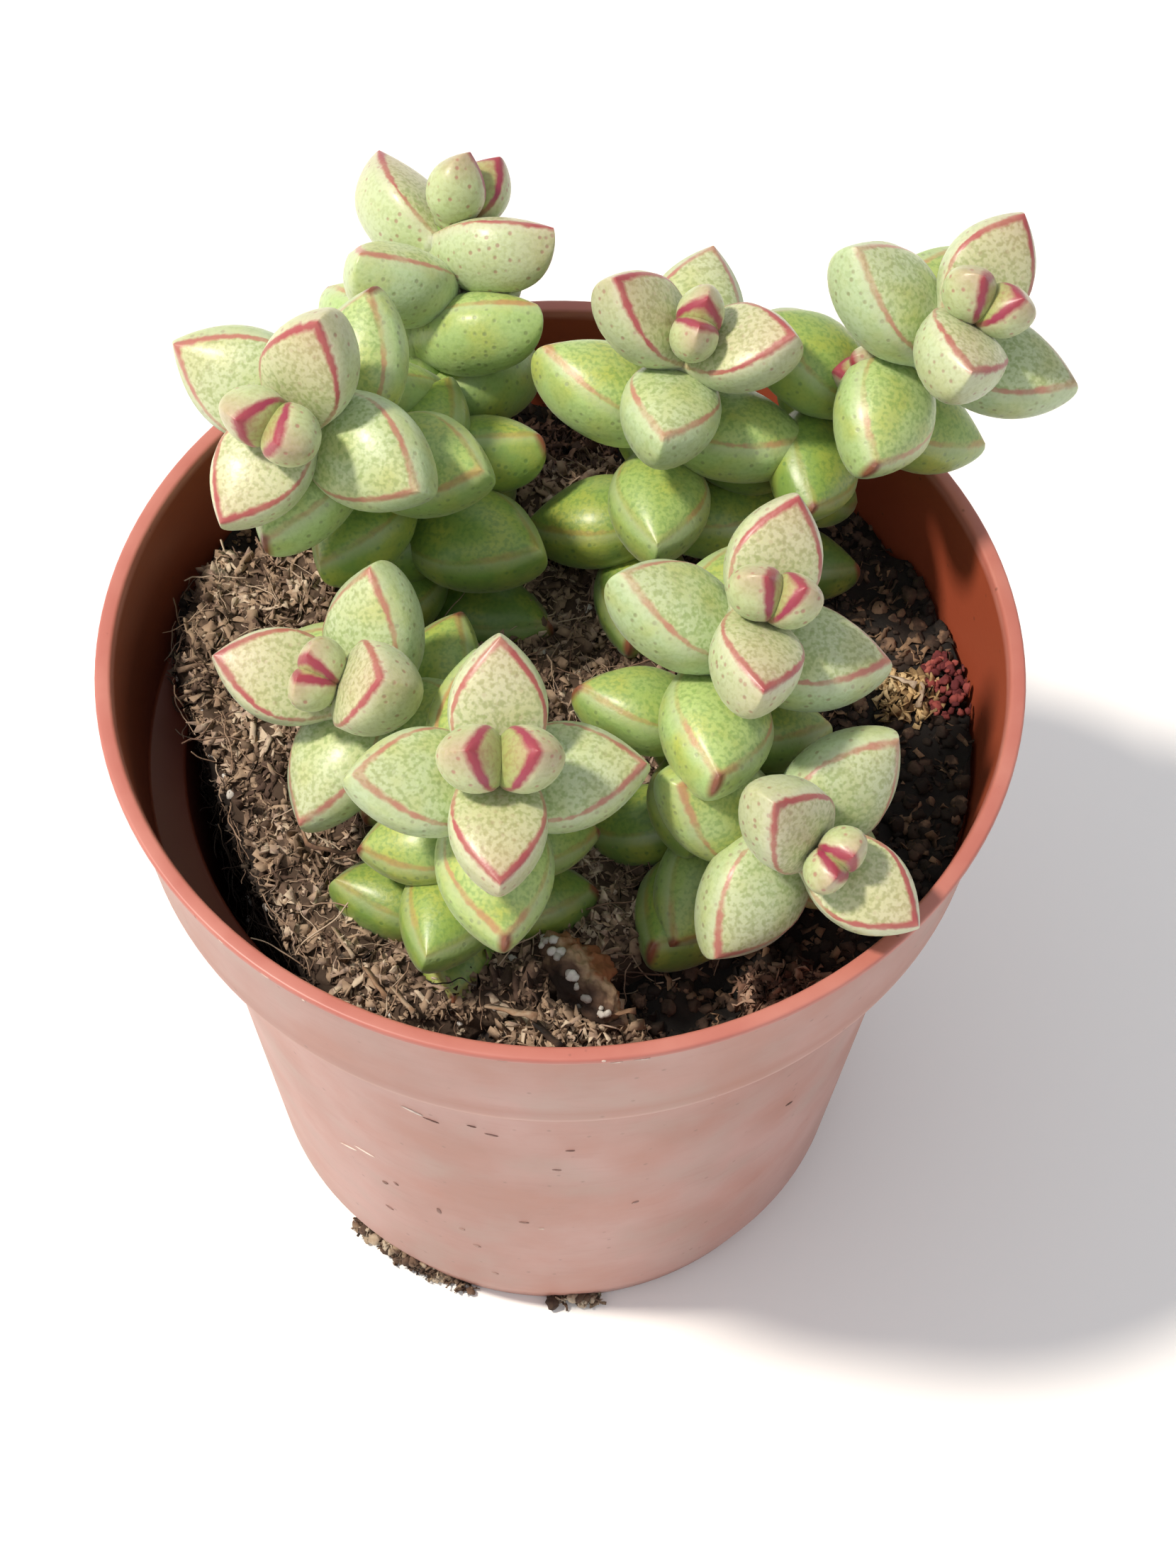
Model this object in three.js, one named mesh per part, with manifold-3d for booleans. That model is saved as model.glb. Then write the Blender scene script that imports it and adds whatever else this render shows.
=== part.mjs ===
// A potted Crassula brevifolia: a round plastic nursery pot, the square root ball set down in it,
// the loose compost filled in beside the ball, and eight leafy shoots.
// Millimetres, +Z up. The origin is the middle of the pot's underside.
import * as THREE from 'three'
import { mergeVertices } from 'three/addons/utils/BufferGeometryUtils.js'
import Module from 'manifold-3d'

const wasm = await Module()
wasm.setup()

// The pot: a narrow lip, the wide collar under it, and the wall that narrows from the ledge below
// the collar to a bevelled foot
const potHeight = 78
const rimRadius = 42.5
const lipWidth = 1.4
const lipHeight = 0.9
const lipRounding = 0.3
const collarTopRadius = 41.8
const collarFootRadius = 40.1
const collarFoot = 62
const wallTopRadius = 36.6
const wallFootRadius = 30.8
const bevelHeight = 5
const baseRadius = 29.2
const ledgeFall = 0.5
const wallThickness = 1
const floorThickness = 1.8
const lipFoot = potHeight - lipHeight
const ledge = collarFoot + wallThickness
const potSides = 48
const drainHoles = 6
const drainRadius = 2.8
const drainCircle = 21
const drainSides = 10
const drillLength = 8

// The clear space left between pieces that touch, wider beside the pot's wall, whose facets lie
// inside its true circle
const clearance = 0.3
const wallGap = 0.45

// The root ball, which keeps the square shape of the smaller pot that it grew in
const ballLength = 60
const ballWidth = 54
const ballSquareness = 4.5
const ballTaper = 0.86
const ballMiddle = new THREE.Vector2(-5.5, -1.5)
const ballTurn = THREE.MathUtils.degToRad(-67)
const soilLevel = 69
const soilEdgeDrop = 1.8
const soilShoulder = 0.4
const soilRoughness = 0.9
const ballSides = 36
const barkLump = { x: 1.5, y: -25, radius: 5.5, height: 3.2 }

// Crossed waves that make the soil uneven: how fast each one runs along x and y, and its start
const humps = [
  { alongX: 0.71, alongY: 0.4, start: 0 },
  { alongX: -0.35, alongY: 0.93, start: 1.3 },
  { alongX: 1.37, alongY: -1.21, start: 2.1 },
]

// The loose compost, which leaves the ball's left front face bare almost to the floor
const compostLevel = 65.5
const compostRoughness = 1.6
const bareLevel = 14
const bareDepth = 2
const compostSides = 32

// Leaves, as shares of their length: full width and depth from the youngest pair to the old ones
const leafWidths = [0.82, 0.74, 0.71, 0.72]
const leafDepths = [0.62, 0.53, 0.49, 0.46]
const leafCrown = 0.07
const leafArch = 0.045
const leafSections = [-0.1, 0.3, 0.62, 0.88]
const keelAngles = [40, 90, 140]
const keelFullness = 0.85
const widestPlace = 0.42
const joinedWidth = 0.6
const joinedDepth = 0.6
const edgeCurve = 1.75
const keelCurve = 2.2

// Shoots: the steps between leaf pairs from the tip down, and the stem that carries them
const pairSteps = [0.8, 2.3, 3.8, 4.9, 5.4, 5.5, 5.7, 5.8, 5.5]
const stemRadius = 1.9
const stemSides = 6
const stemSections = 5
const rootDepth = 10
const bendReach = 0.36

// Each shoot: where it leaves the soil and how it leans there (sideways travel per unit of rise),
// where its tip is and how it leans there, and the turn of its youngest pair in degrees. Then, one
// value for each pair from the tip down: its twist off the right angle to the pair above, the
// length of its leaves, and how far its two leaves open from the stem in degrees, where they haven't
// fallen. Shoots of one plant grow from one root. A foot with a height of its own is a side bud's, on
// the stem of its plant.
const fallen = null
const shoots = [
  {
    plant: 'shoots_left',
    foot: [-10, 16.5], footLean: [-0.25, 0.2],
    tip: [-10, 39, 94.5], tipLean: [0.6, 0.65],
    turn: -126,
    twist: [0, 0, 0, 0, -19, 0, 0],
    lengths: [6, 12, 13.5, 13, 14.5, 13, 12],
    opening: [[36, 32], [64, 67], [72, 87], [75, 76], [88, 74], [90, 90], [91, 92]],
  },
  {
    plant: 'shoots_left',
    foot: [-12.5, 13.5], footLean: [0, 0.15],
    tip: [-24.5, 6, 102.5], tipLean: [-0.35, -1.3],
    turn: 159,
    twist: [-5, -5, -5, 8, 14, 10, 13, 0, 20],
    lengths: [6.5, 11.5, 14, 13.5, 13.5, 12.5, 14.5, 12, 13],
    opening: [
      [35, 25], [62, 61], [82, 65], [77, 69], [86, 91], [75, 90], [93, 94], [90, 90], [fallen, 90],
    ],
  },
  {
    plant: 'shoot_back',
    foot: [8.5, 17], footLean: [0, -0.1],
    tip: [11.5, 19.5, 100], tipLean: [0.15, -0.35],
    turn: 76,
    twist: [0, 0, 0, 0, 7, 12, 0],
    lengths: [6, 11, 13, 14, 13, 13.5, 12.5],
    opening: [[17, 28], [49, 53], [72, 67], [89, 73], [86, 95], [106, 90], [94, fallen]],
  },
  {
    plant: 'shoot_back_right',
    foot: [17.5, 19], footLean: [0.1, 0.3],
    tip: [36.5, 19.5, 103.5], tipLean: [0.3, -0.35],
    turn: 159,
    twist: [0, 0, 0, 0, 2, 0, 20, 0, -9],
    lengths: [6, 11, 13.5, 13.5, 13.5, 13, 12, 11, 12],
    opening: [
      [30, 32], [53, 59], [67, 73], [72, 93], [91, 77], [92, 90], [108, 90], [fallen, 96], [fallen, 88],
    ],
  },
  {
    plant: 'shoot_back_right',
    foot: [29.5, 22, 90.5], footLean: [-0.9, -0.3],
    tip: [27.5, 21.2, 92.5], tipLean: [-0.9, -0.3],
    turn: 200,
    twist: [0],
    lengths: [4.5],
    opening: [[22, 22]],
  },
  {
    plant: 'shoots_right',
    foot: [13, -15], footLean: [-0.4, 0.3],
    tip: [17.5, -10.5, 100], tipLean: [0.25, -0.3],
    turn: 170,
    twist: [0, 0, 0, 0, 0, 0, -8],
    lengths: [6.5, 11, 13.5, 14, 12, 10.5, 11.5],
    opening: [[28, 25], [62, 51], [77, 73], [76, 86], [90, 81], [98, 90], [94, 101]],
  },
  {
    plant: 'shoots_right',
    foot: [15.5, -16], footLean: [-0.05, 0.05],
    tip: [23, -27.5, 87], tipLean: [0.35, -0.85],
    turn: 51,
    twist: [0, 0, 0, 14, 1, 0, -7],
    lengths: [6, 11, 13, 13.5, 13, 10, 14.5],
    opening: [[16, 27], [55, 55], [86, 73], [84, 72], [86, 92], [90, 90], [80, fallen]],
  },
  {
    plant: 'shoot_front',
    foot: [-8.5, -21.5], footLean: [0.15, 0.15],
    tip: [-5, -25, 97], tipLean: [0.05, -0.45],
    turn: 181,
    twist: [0, 0, 5, 5, 5, -23, -3, -7],
    lengths: [7, 11.5, 13.5, 14, 11.5, 12.5, 12.5, 11],
    opening: [
      [37, 42], [68, 63], [80, 69], [78, 85], [105, 97], [86, 90], [74, 85], [fallen, 96],
    ],
  },
  {
    plant: 'shoot_front_left',
    foot: [-12.5, -4.5], footLean: [0.05, -0.05],
    tip: [-20.5, -11.5, 89.5], tipLean: [-0.35, -0.2],
    turn: 64,
    twist: [0, 10, 0, -10, 0],
    lengths: [6, 11.5, 13, 13.5, 11],
    opening: [[10, 31], [55, 48], [79, 62], [80, 83], [86, 84]],
  },
]

const plastic = new THREE.MeshStandardMaterial({ color: '#c98d7c', roughness: 0.45, metalness: 0 })
const peat = new THREE.MeshStandardMaterial({ color: '#6f5646', roughness: 0.95, metalness: 0 })
const compost = new THREE.MeshStandardMaterial({ color: '#3a2c25', roughness: 0.95, metalness: 0 })
const leaf = new THREE.MeshStandardMaterial({ color: '#b5cf95', roughness: 0.4, metalness: 0 })

// A closed geometry as a solid that can be joined and cut
function solidOf(geometry) {
  const bare = new THREE.BufferGeometry()
  bare.setAttribute('position', geometry.getAttribute('position').clone())
  if (geometry.index) bare.setIndex(geometry.index.clone())
  const welded = mergeVertices(bare, 1e-4)
  return new wasm.Manifold(new wasm.Mesh({
    numProp: 3,
    vertProperties: new Float32Array(welded.getAttribute('position').array),
    triVerts: new Uint32Array(welded.index.array),
  }))
}

// A solid's surface as a geometry
function geometryOf(solid) {
  const surface = solid.getMesh()
  const geometry = new THREE.BufferGeometry()
  geometry.setAttribute('position', new THREE.BufferAttribute(surface.vertProperties, 3))
  geometry.setIndex(new THREE.BufferAttribute(surface.triVerts, 1))
  geometry.computeVertexNormals()
  return geometry
}

function joined(solids) {
  return solids.reduce((whole, solid) => whole.add(solid))
}

// The largest body of a solid, without any loose scrap that a cut left behind
function largestBody(solid) {
  return solid.decompose().reduce((best, body) => (body.volume() > best.volume() ? body : best))
}

// A closed skin from a first point over rings of points to a last point. The rings run the same way
// round, counter-clockwise as seen from the last point.
function skin(first, rings, last) {
  const around = rings[0].length
  const points = [first, ...rings.flat(), last]
  const lastRing = 1 + (rings.length - 1) * around
  const faces = []
  for (let i = 0; i < around; i += 1) {
    const next = (i + 1) % around
    faces.push(0, 1 + next, 1 + i)
    for (let here = 1; here < lastRing; here += around) {
      const beyond = here + around
      faces.push(here + i, here + next, beyond + i)
      faces.push(here + next, beyond + next, beyond + i)
    }
    faces.push(points.length - 1, lastRing + i, lastRing + next)
  }
  const geometry = new THREE.BufferGeometry().setFromPoints(points)
  geometry.setIndex(faces)
  return geometry
}

// The inside of the pot's wall: its radius at a height
function innerRadius(z) {
  const { mapLinear } = THREE.MathUtils
  let outside = mapLinear(z, bevelHeight, collarFoot, wallFootRadius, wallTopRadius)
  if (z < bevelHeight) outside = mapLinear(z, 0, bevelHeight, baseRadius, wallFootRadius)
  if (z >= ledge) outside = mapLinear(z, collarFoot, lipFoot, collarFootRadius, collarTopRadius)
  return outside - wallThickness
}

function makePot() {
  const profile = [
    [0, 0],
    [baseRadius, 0],
    [wallFootRadius, bevelHeight],
    [wallTopRadius, collarFoot - ledgeFall],
    [collarFootRadius, collarFoot],
    [collarTopRadius, lipFoot],
    [rimRadius, lipFoot + lipRounding],
    [rimRadius, potHeight - lipRounding],
    [rimRadius - lipRounding, potHeight],
    [rimRadius - lipWidth, potHeight],
    [innerRadius(lipFoot), lipFoot],
    [collarFootRadius - wallThickness, ledge],
    [wallTopRadius - wallThickness, ledge - ledgeFall],
    [innerRadius(bevelHeight), bevelHeight],
    [innerRadius(floorThickness), floorThickness],
    [0, floorThickness],
  ]
  const turned = new THREE.LatheGeometry(profile.map(([r, z]) => new THREE.Vector2(r, z)), potSides)
  let pot = solidOf(turned.rotateX(Math.PI / 2))
  for (let i = 0; i < drainHoles; i += 1) {
    const angle = (i + 0.5) * 2 * Math.PI / drainHoles
    const hole = new THREE.CylinderGeometry(drainRadius, drainRadius, drillLength, drainSides)
    hole.rotateX(Math.PI / 2)
    hole.translate(drainCircle * Math.cos(angle), drainCircle * Math.sin(angle), floorThickness / 2)
    pot = pot.subtract(solidOf(hole))
  }
  return pot
}

// Low humps, from -1 to 1, with no pattern that repeats in them
function relief(x, y) {
  const waves = humps.map(({ alongX, alongY, start }) => Math.sin(alongX * x + alongY * y + start))
  return waves.reduce((sum, wave) => sum + wave) / humps.length
}

// The lump of bark that lies on the root ball at the front
function barkRise(x, y) {
  const away = Math.hypot(x - barkLump.x, y - barkLump.y) / barkLump.radius
  return away < 1 ? barkLump.height * (1 - away * away) : 0
}

// The root ball's outline: the point of a rounded rectangle at an angle around its middle
function ballOutline(angle, grow) {
  const halfLength = ballLength / 2 + grow
  const halfWidth = ballWidth / 2 + grow
  const along = Math.abs(Math.cos(angle) / halfLength) ** ballSquareness
  const across = Math.abs(Math.sin(angle) / halfWidth) ** ballSquareness
  const reach = (along + across) ** (-1 / ballSquareness)
  return new THREE.Vector2(reach * Math.cos(angle), reach * Math.sin(angle))
}

// The root ball stands on the pot's floor, with its corners pressed in by the round wall
function makeBall(grow = 0) {
  const foot = floorThickness + clearance - grow
  const levels = [
    { share: ballTaper, z: foot },
    { share: 0.93, z: collarFoot / 2 },
    { share: 0.98, z: ledge - ledgeFall + clearance / 2 },
    { share: 1, z: ledge + 2 * clearance },
    { share: 1, z: soilLevel - soilEdgeDrop },
    { share: 0.95, z: soilLevel - soilShoulder, top: true },
    { share: 0.75, z: soilLevel, top: true },
    { share: 0.4, z: soilLevel, top: true },
  ]
  const rings = levels.map(({ share, z, top }) => Array.from({ length: ballSides }, (_, i) => {
    const flat = ballOutline(i * 2 * Math.PI / ballSides, grow).multiplyScalar(share)
    flat.rotateAround(new THREE.Vector2(), ballTurn).add(ballMiddle)
    const most = innerRadius(z) - wallGap + grow / 2
    if (flat.length() > most) flat.setLength(most)
    const humped = soilRoughness * relief(flat.x, flat.y) + barkRise(flat.x, flat.y) + grow
    return new THREE.Vector3(flat.x, flat.y, top ? z + humped : z)
  }))
  const { x, y } = ballMiddle
  const top = new THREE.Vector3(x, y, soilLevel + soilRoughness * relief(x, y) + grow)
  return solidOf(skin(new THREE.Vector3(x, y, foot), rings, top))
}

// The loose compost fills the pot round the ball, and is open in front of the ball's bare face
function makeCompost() {
  const foot = floorThickness + clearance
  const levels = [
    { share: 0.99, z: foot },
    { share: 1, z: ledge - ledgeFall + clearance / 2 },
    { share: 1, z: ledge + 2 * clearance },
    { share: 1, z: compostLevel, top: true },
    { share: 0.87, z: compostLevel, top: true },
    { share: 0.7, z: compostLevel, top: true },
  ]
  const rings = levels.map(({ share, z, top }) => Array.from({ length: compostSides }, (_, i) => {
    const angle = i * 2 * Math.PI / compostSides
    const radius = share * (innerRadius(z) - wallGap)
    const x = radius * Math.cos(angle)
    const y = radius * Math.sin(angle)
    return new THREE.Vector3(x, y, top ? z + compostRoughness * relief(y, x) : z)
  }))
  const filled = solidOf(skin(new THREE.Vector3(0, 0, foot), rings, new THREE.Vector3(0, 0, compostLevel)))
  const bare = new THREE.BoxGeometry(4 * rimRadius, 2 * rimRadius, 2 * potHeight)
  bare.translate(0, bareDepth - ballWidth / 2 - rimRadius, bareLevel + potHeight)
  bare.rotateZ(ballTurn)
  bare.translate(ballMiddle.x, ballMiddle.y, 0)
  return largestBody(filled.subtract(makeBall(clearance)).subtract(solidOf(bare)))
}

// Along a leaf, from 0 at the stem to 1 at the tip: its half width as a share of the widest
function widthAt(place) {
  const fromWidest = (place - widestPlace) / (1 - widestPlace)
  if (fromWidest > 0) return 1 - fromWidest ** edgeCurve
  return 1 - (1 - joinedWidth) * Math.min(1, (1 - place / widestPlace) ** 2)
}

// Its depth below the margins, which falls off late, so that the keel ends in a blunt prow
function depthAt(place) {
  const fromWidest = (place - widestPlace) / (1 - widestPlace)
  if (fromWidest > 0) return Math.sqrt(1 - fromWidest ** keelCurve)
  return 1 - (1 - joinedDepth) * Math.min(1, (1 - place / widestPlace) ** 2)
}

// One boat-shaped leaf along +Y with its flat upper face to +Z: two margins, a low crown between
// them, and a deep round keel below
function leafGeometry(length, age, grow) {
  const halfWidth = leafWidths[age] * length / 2
  const depth = leafDepths[age] * length
  const rings = leafSections.map((place) => {
    const w = halfWidth * widthAt(place) + grow
    const d = depth * depthAt(place) + grow
    const crown = leafCrown * length * widthAt(place) + grow
    const y = place * length - (place < 0 ? grow : 0)
    const margin = leafArch * length * Math.sin(Math.PI * Math.max(0, place))
    const keel = keelAngles.map((degrees) => {
      const angle = THREE.MathUtils.degToRad(degrees)
      const out = Math.sign(Math.cos(angle)) * Math.abs(Math.cos(angle)) ** keelFullness
      return new THREE.Vector3(w * out, y, margin - d * Math.sin(angle) ** keelFullness)
    })
    const marginsAndCrown = [
      new THREE.Vector3(-w, y, margin),
      new THREE.Vector3(0, y, margin + crown),
      new THREE.Vector3(w, y, margin),
    ]
    return [...marginsAndCrown, ...keel]
  })
  const base = new THREE.Vector3(0, rings[0][0].y, -depth * joinedDepth / 3)
  return skin(base, rings, new THREE.Vector3(0, length + 2 * grow, 0))
}

// The line of a shoot above the soil
function shootLine({ foot, footLean, tip, tipLean }) {
  const start = new THREE.Vector3(foot[0], foot[1], foot[2] ?? soilLevel)
  const end = new THREE.Vector3(...tip)
  const reach = bendReach * start.distanceTo(end)
  const up = new THREE.Vector3(footLean[0], footLean[1], 1).setLength(reach).add(start)
  const down = new THREE.Vector3(tipLean[0], tipLean[1], 1).setLength(-reach).add(end)
  return new THREE.CubicBezierCurve3(start, up, down, end)
}

// The stem, from its root in the soil to just under the youngest pair
function stemGeometry(line, grow) {
  const topShare = 1 - 2 * pairSteps[0] / line.getLength()
  const points = Array.from({ length: stemSections }, (_, i) => (
    line.getPointAt(topShare * i / (stemSections - 1))
  ))
  const root = points[0].clone()
  root.z -= rootDepth + grow
  const section = new THREE.Shape().absarc(0, 0, stemRadius + grow, 0, 2 * Math.PI)
  return new THREE.ExtrudeGeometry(section, {
    extrudePath: new THREE.CatmullRomCurve3([root, ...points]),
    steps: stemSections,
    curveSegments: stemSides / 2,
  })
}

// The stem and leaves of one shoot. Its leaf pairs stand crosswise to each other down the stem.
function shootSolids(shoot, grow) {
  const line = shootLine(shoot)
  const total = line.getLength()
  const isBud = shoot.foot.length === 3
  const solids = isBud ? [] : [solidOf(stemGeometry(line, grow))]
  const sideways = new THREE.Vector3(1, 0, 0)
  let height = total
  shoot.lengths.forEach((length, pair) => {
    height -= pairSteps[pair]
    const share = Math.max(0, height / total)
    const place = line.getPointAt(share)
    const stem = line.getTangentAt(share)
    sideways.addScaledVector(stem, -sideways.dot(stem)).normalize()
    const turn = THREE.MathUtils.degToRad(shoot.turn + 90 * pair + shoot.twist[pair])
    const age = Math.min(pair, leafWidths.length - 1)
    shoot.opening[pair].forEach((opening, side) => {
      if (opening === fallen) return
      const outward = sideways.clone().applyAxisAngle(stem, turn + side * Math.PI)
      const spread = THREE.MathUtils.degToRad(opening)
      const along = stem.clone().multiplyScalar(Math.cos(spread)).addScaledVector(outward, Math.sin(spread))
      const up = stem.clone().multiplyScalar(Math.sin(spread)).addScaledVector(outward, -Math.cos(spread))
      const across = new THREE.Vector3().crossVectors(along, up)
      const frame = new THREE.Matrix4().makeBasis(across, along, up).setPosition(place)
      solids.push(solidOf(leafGeometry(length, age, grow).applyMatrix4(frame)))
    })
  })
  return solids
}

// A plant: all shoots that grow from one root, as one solid
function makePlant(name, grow = 0) {
  const members = shoots.filter((shoot) => shoot.plant === name)
  return largestBody(joined(members.flatMap((shoot) => shootSolids(shoot, grow))))
}

const part = new THREE.Group()

function addPiece(name, solid, material) {
  const mesh = new THREE.Mesh(geometryOf(solid), material)
  mesh.name = name
  part.add(mesh)
}

// Where two plants press together, the later one gives way to the earlier one
let grown = null
for (const name of new Set(shoots.map((shoot) => shoot.plant))) {
  const plant = makePlant(name)
  const wide = makePlant(name, clearance)
  addPiece(name, grown ? largestBody(plant.subtract(grown)) : plant, leaf)
  grown = grown ? grown.add(wide) : wide
}

addPiece('pot', makePot(), plastic)
addPiece('root_ball', largestBody(makeBall().subtract(grown)), peat)
addPiece('loose_compost', largestBody(makeCompost().subtract(grown)), compost)

export default part
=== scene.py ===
import math
import random
from typing import NamedTuple

import bmesh
import bpy
import numpy as np
from bpy.props import FloatProperty, FloatVectorProperty, IntProperty, PointerProperty
from mathutils import Matrix, Quaternion, Vector
from mathutils.geometry import interpolate_bezier, intersect_point_line


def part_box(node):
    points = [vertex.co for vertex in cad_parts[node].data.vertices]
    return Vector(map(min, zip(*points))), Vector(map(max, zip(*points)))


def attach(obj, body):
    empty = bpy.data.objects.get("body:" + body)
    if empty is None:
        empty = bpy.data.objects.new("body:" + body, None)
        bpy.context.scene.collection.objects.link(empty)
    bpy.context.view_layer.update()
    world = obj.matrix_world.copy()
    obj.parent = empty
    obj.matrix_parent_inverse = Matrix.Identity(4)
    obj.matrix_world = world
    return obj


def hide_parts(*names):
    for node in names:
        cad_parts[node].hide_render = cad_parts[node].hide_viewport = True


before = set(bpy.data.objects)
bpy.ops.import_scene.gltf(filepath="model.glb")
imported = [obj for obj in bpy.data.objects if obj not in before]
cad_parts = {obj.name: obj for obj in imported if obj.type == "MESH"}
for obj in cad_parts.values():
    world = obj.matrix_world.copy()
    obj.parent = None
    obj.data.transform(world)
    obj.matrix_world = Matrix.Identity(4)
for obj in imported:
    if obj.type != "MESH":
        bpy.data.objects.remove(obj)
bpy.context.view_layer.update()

bl_info = {
    "name": "Potted Crassula Brevifolia",
    "version": (1, 0, 0),
    "blender": (4, 5, 0),
    "location": "View3D > Sidebar > Crassula",
    "description": "Plump red-edged shoots in a root ball of peat, in a round plastic nursery pot",
    "category": "Add Mesh",
}

_, POT_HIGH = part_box("pot")
MM = 0.001


def linear(code):
    """An sRGB hex colour as linear red, green, blue and alpha."""
    shares = [int(code[i : i + 2], 16) / 255 for i in (1, 3, 5)]
    return tuple(s / 12.92 if s <= 0.04045 else ((s + 0.055) / 1.055) ** 2.4 for s in shares) + (1.0,)


class Shoot(NamedTuple):
    """One shoot, in millimetres and degrees. A lean is the sideways travel per unit of rise. The twist,
    length and opening of the leaf pairs run from the tip down, and None stands for a fallen leaf."""

    node: str
    foot: tuple
    foot_lean: tuple
    tip: tuple
    tip_lean: tuple
    turn: float
    twist: tuple
    lengths: tuple
    opening: tuple


SHOOTS = (
    Shoot(
        "shoots_left", (-10, 16.5), (-0.25, 0.2), (-10, 39, 94.5), (0.6, 0.65), -126,
        (0, 0, 0, 0, -19, 0, 0),
        (6.9, 12, 13.5, 13, 14.5, 13, 12),
        ((36, 32), (64, 67), (72, 87), (75, 76), (88, 74), (90, 90), (91, 92)),
    ),
    Shoot(
        "shoots_left", (-12.5, 13.5), (0, 0.15), (-24.5, 6, 102.5), (-0.35, -1.3), 159,
        (-5, -5, -5, 8, 14, 10, 13, 0, 20),
        (6.5, 11.5, 14, 13.5, 13.5, 12.5, 14.5, 12, 13),
        ((35, 25), (62, 61), (82, 65), (77, 69), (86, 91), (75, 90), (93, 94), (90, 90), (None, 90)),
    ),
    Shoot(
        "shoot_back", (8.5, 17), (0, -0.1), (11.5, 19.5, 100), (0.15, -0.35), 76,
        (0, 0, 0, 0, 7, 12, 0),
        (5.4, 11, 13, 14, 13, 13.5, 12.5),
        ((17, 28), (49, 53), (72, 67), (89, 73), (86, 95), (106, 90), (94, None)),
    ),
    Shoot(
        "shoot_back_right", (17.5, 19), (0.1, 0.3), (36.5, 19.5, 103.5), (0.3, -0.35), 159,
        (0, 0, 0, 0, 2, 0, 20, 0, -9),
        (6, 11, 13.5, 13.5, 13.5, 13, 12, 11, 12),
        ((30, 32), (53, 59), (67, 73), (72, 93), (91, 77), (92, 90), (108, 90), (None, 96), (None, 88)),
    ),
    Shoot(
        "shoot_back_right", (29.5, 22, 90.5), (-0.9, -0.3), (27.5, 21.2, 92.5), (-0.9, -0.3), 200,
        (0,),
        (4.5,),
        ((22, 22),),
    ),
    Shoot(
        "shoots_right", (13, -15), (-0.4, 0.3), (17.5, -10.5, 100), (0.25, -0.3), 170,
        (0, 0, 0, 0, 0, 0, -8),
        (5.8, 11, 13.5, 14, 12, 10.5, 11.5),
        ((28, 25), (62, 51), (77, 73), (76, 86), (90, 81), (98, 90), (94, 101)),
    ),
    Shoot(
        "shoots_right", (15.5, -16), (-0.05, 0.05), (23, -27.5, 87), (0.35, -0.85), 51,
        (0, 0, 0, 14, 1, 0, -7),
        (4.7, 11, 13, 13.5, 13, 10, 14.5),
        ((16, 27), (55, 55), (86, 73), (84, 72), (86, 92), (90, 90), (80, None)),
    ),
    Shoot(
        "shoot_front", (-8.5, -21.5), (0.15, 0.15), (-5, -25, 97), (0.05, -0.45), 181,
        (0, 0, 5, 5, 5, -23, -3, -7),
        (7, 11.5, 13.5, 14, 11.5, 12.5, 12.5, 11),
        ((37, 42), (68, 63), (80, 69), (78, 85), (105, 97), (86, 90), (74, 85), (None, 96)),
    ),
    Shoot(
        "shoot_front_left", (-12.5, -4.5), (0.05, -0.05), (-20.5, -11.5, 89.5), (-0.35, -0.2), 64,
        (0, 10, 0, -10, 0),
        (5, 11.5, 13, 13.5, 11),
        ((10, 31), (55, 48), (79, 62), (80, 83), (86, 84)),
    ),
)

# Leaves, as shares of their length: full width, full depth and the rise of the upper face, for the bud,
# the first pair, the second and all older ones
LEAF_WIDTHS = (0.82, 0.74, 0.71, 0.72)
LEAF_DEPTHS = (0.62, 0.53, 0.49, 0.46)
LEAF_CROWNS = (0.19, 0.075, 0.115, 0.14)
# The upper face's share of the leaf's width between its margins, and the curves of both outlines
MARGIN_SHARES = (0.95, 0.955, 0.91, 0.88)
MARGIN_CURVE = 1.75
BODY_CURVE = 2.2
# How far the flesh bulges out past the tip at each age, and how deep below the margin that takes
PROW_REACHES = (0.02, 0.025, 0.045, 0.06)
PROW_ROUNDING = 0.07
LEAF_ARCH = 0.045
# Places along a leaf: where it starts inside the stem, and where it is widest, with its share of that
# width where it joins the stem
LEAF_ROOT = -0.12
WIDEST_PLACE = 0.42
JOINED_SHARE = 0.6
# The mesh: sides and rings, how many sides up the margin lies, and how exactly an angle is met
LEAF_SIDES = 32
LEAF_RINGS = 25
MARGIN_STEPS = 2
ANGLE_SLACK = 0.01
# The margin line's middle, in from the margin in millimetres
LINE_INSET = 0.15
# A bud's leaves open by this share of what their solids do
BUD_CLOSING = 0.62
# The steps from the tip down to each leaf pair, and the stem, in millimetres
PAIR_STEPS = (0.8, 2.3, 3.8, 4.9, 5.4, 5.5, 5.7, 5.8, 5.5)
OLDEST_PAIR = 8
STEM_RADIUS = 1.9
STEM_POINTS = 10
ROOT_DEPTH = 10
BEND_REACH = 0.36
CURVE_STEPS = 160

# The root ball and the loose compost, in millimetres
BALL_LENGTH, BALL_WIDTH = 60, 54
BALL_SQUARENESS = 4.5
BALL_MIDDLE = Vector((-5.5, -1.5))
BALL_TURN = math.radians(-67)
SOIL_LEVEL = 69
# Below this height the peat is painted darker, as shade on the root ball's side
PAINTED_SHADE_LEVEL = 68.5
SOIL_ROUGHNESS = 0.9
COMPOST_LEVEL = 65.5
COMPOST_ROUGHNESS = 1.6
# Below the bare level loose compost stands all round the ball; above it the ball's front face is bare
BARE_LEVEL = 14
BARE_DEPTH = 2
FLOOR_TOP = 2.1
WALL_GAP = 0.45
LEDGE = 63
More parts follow.
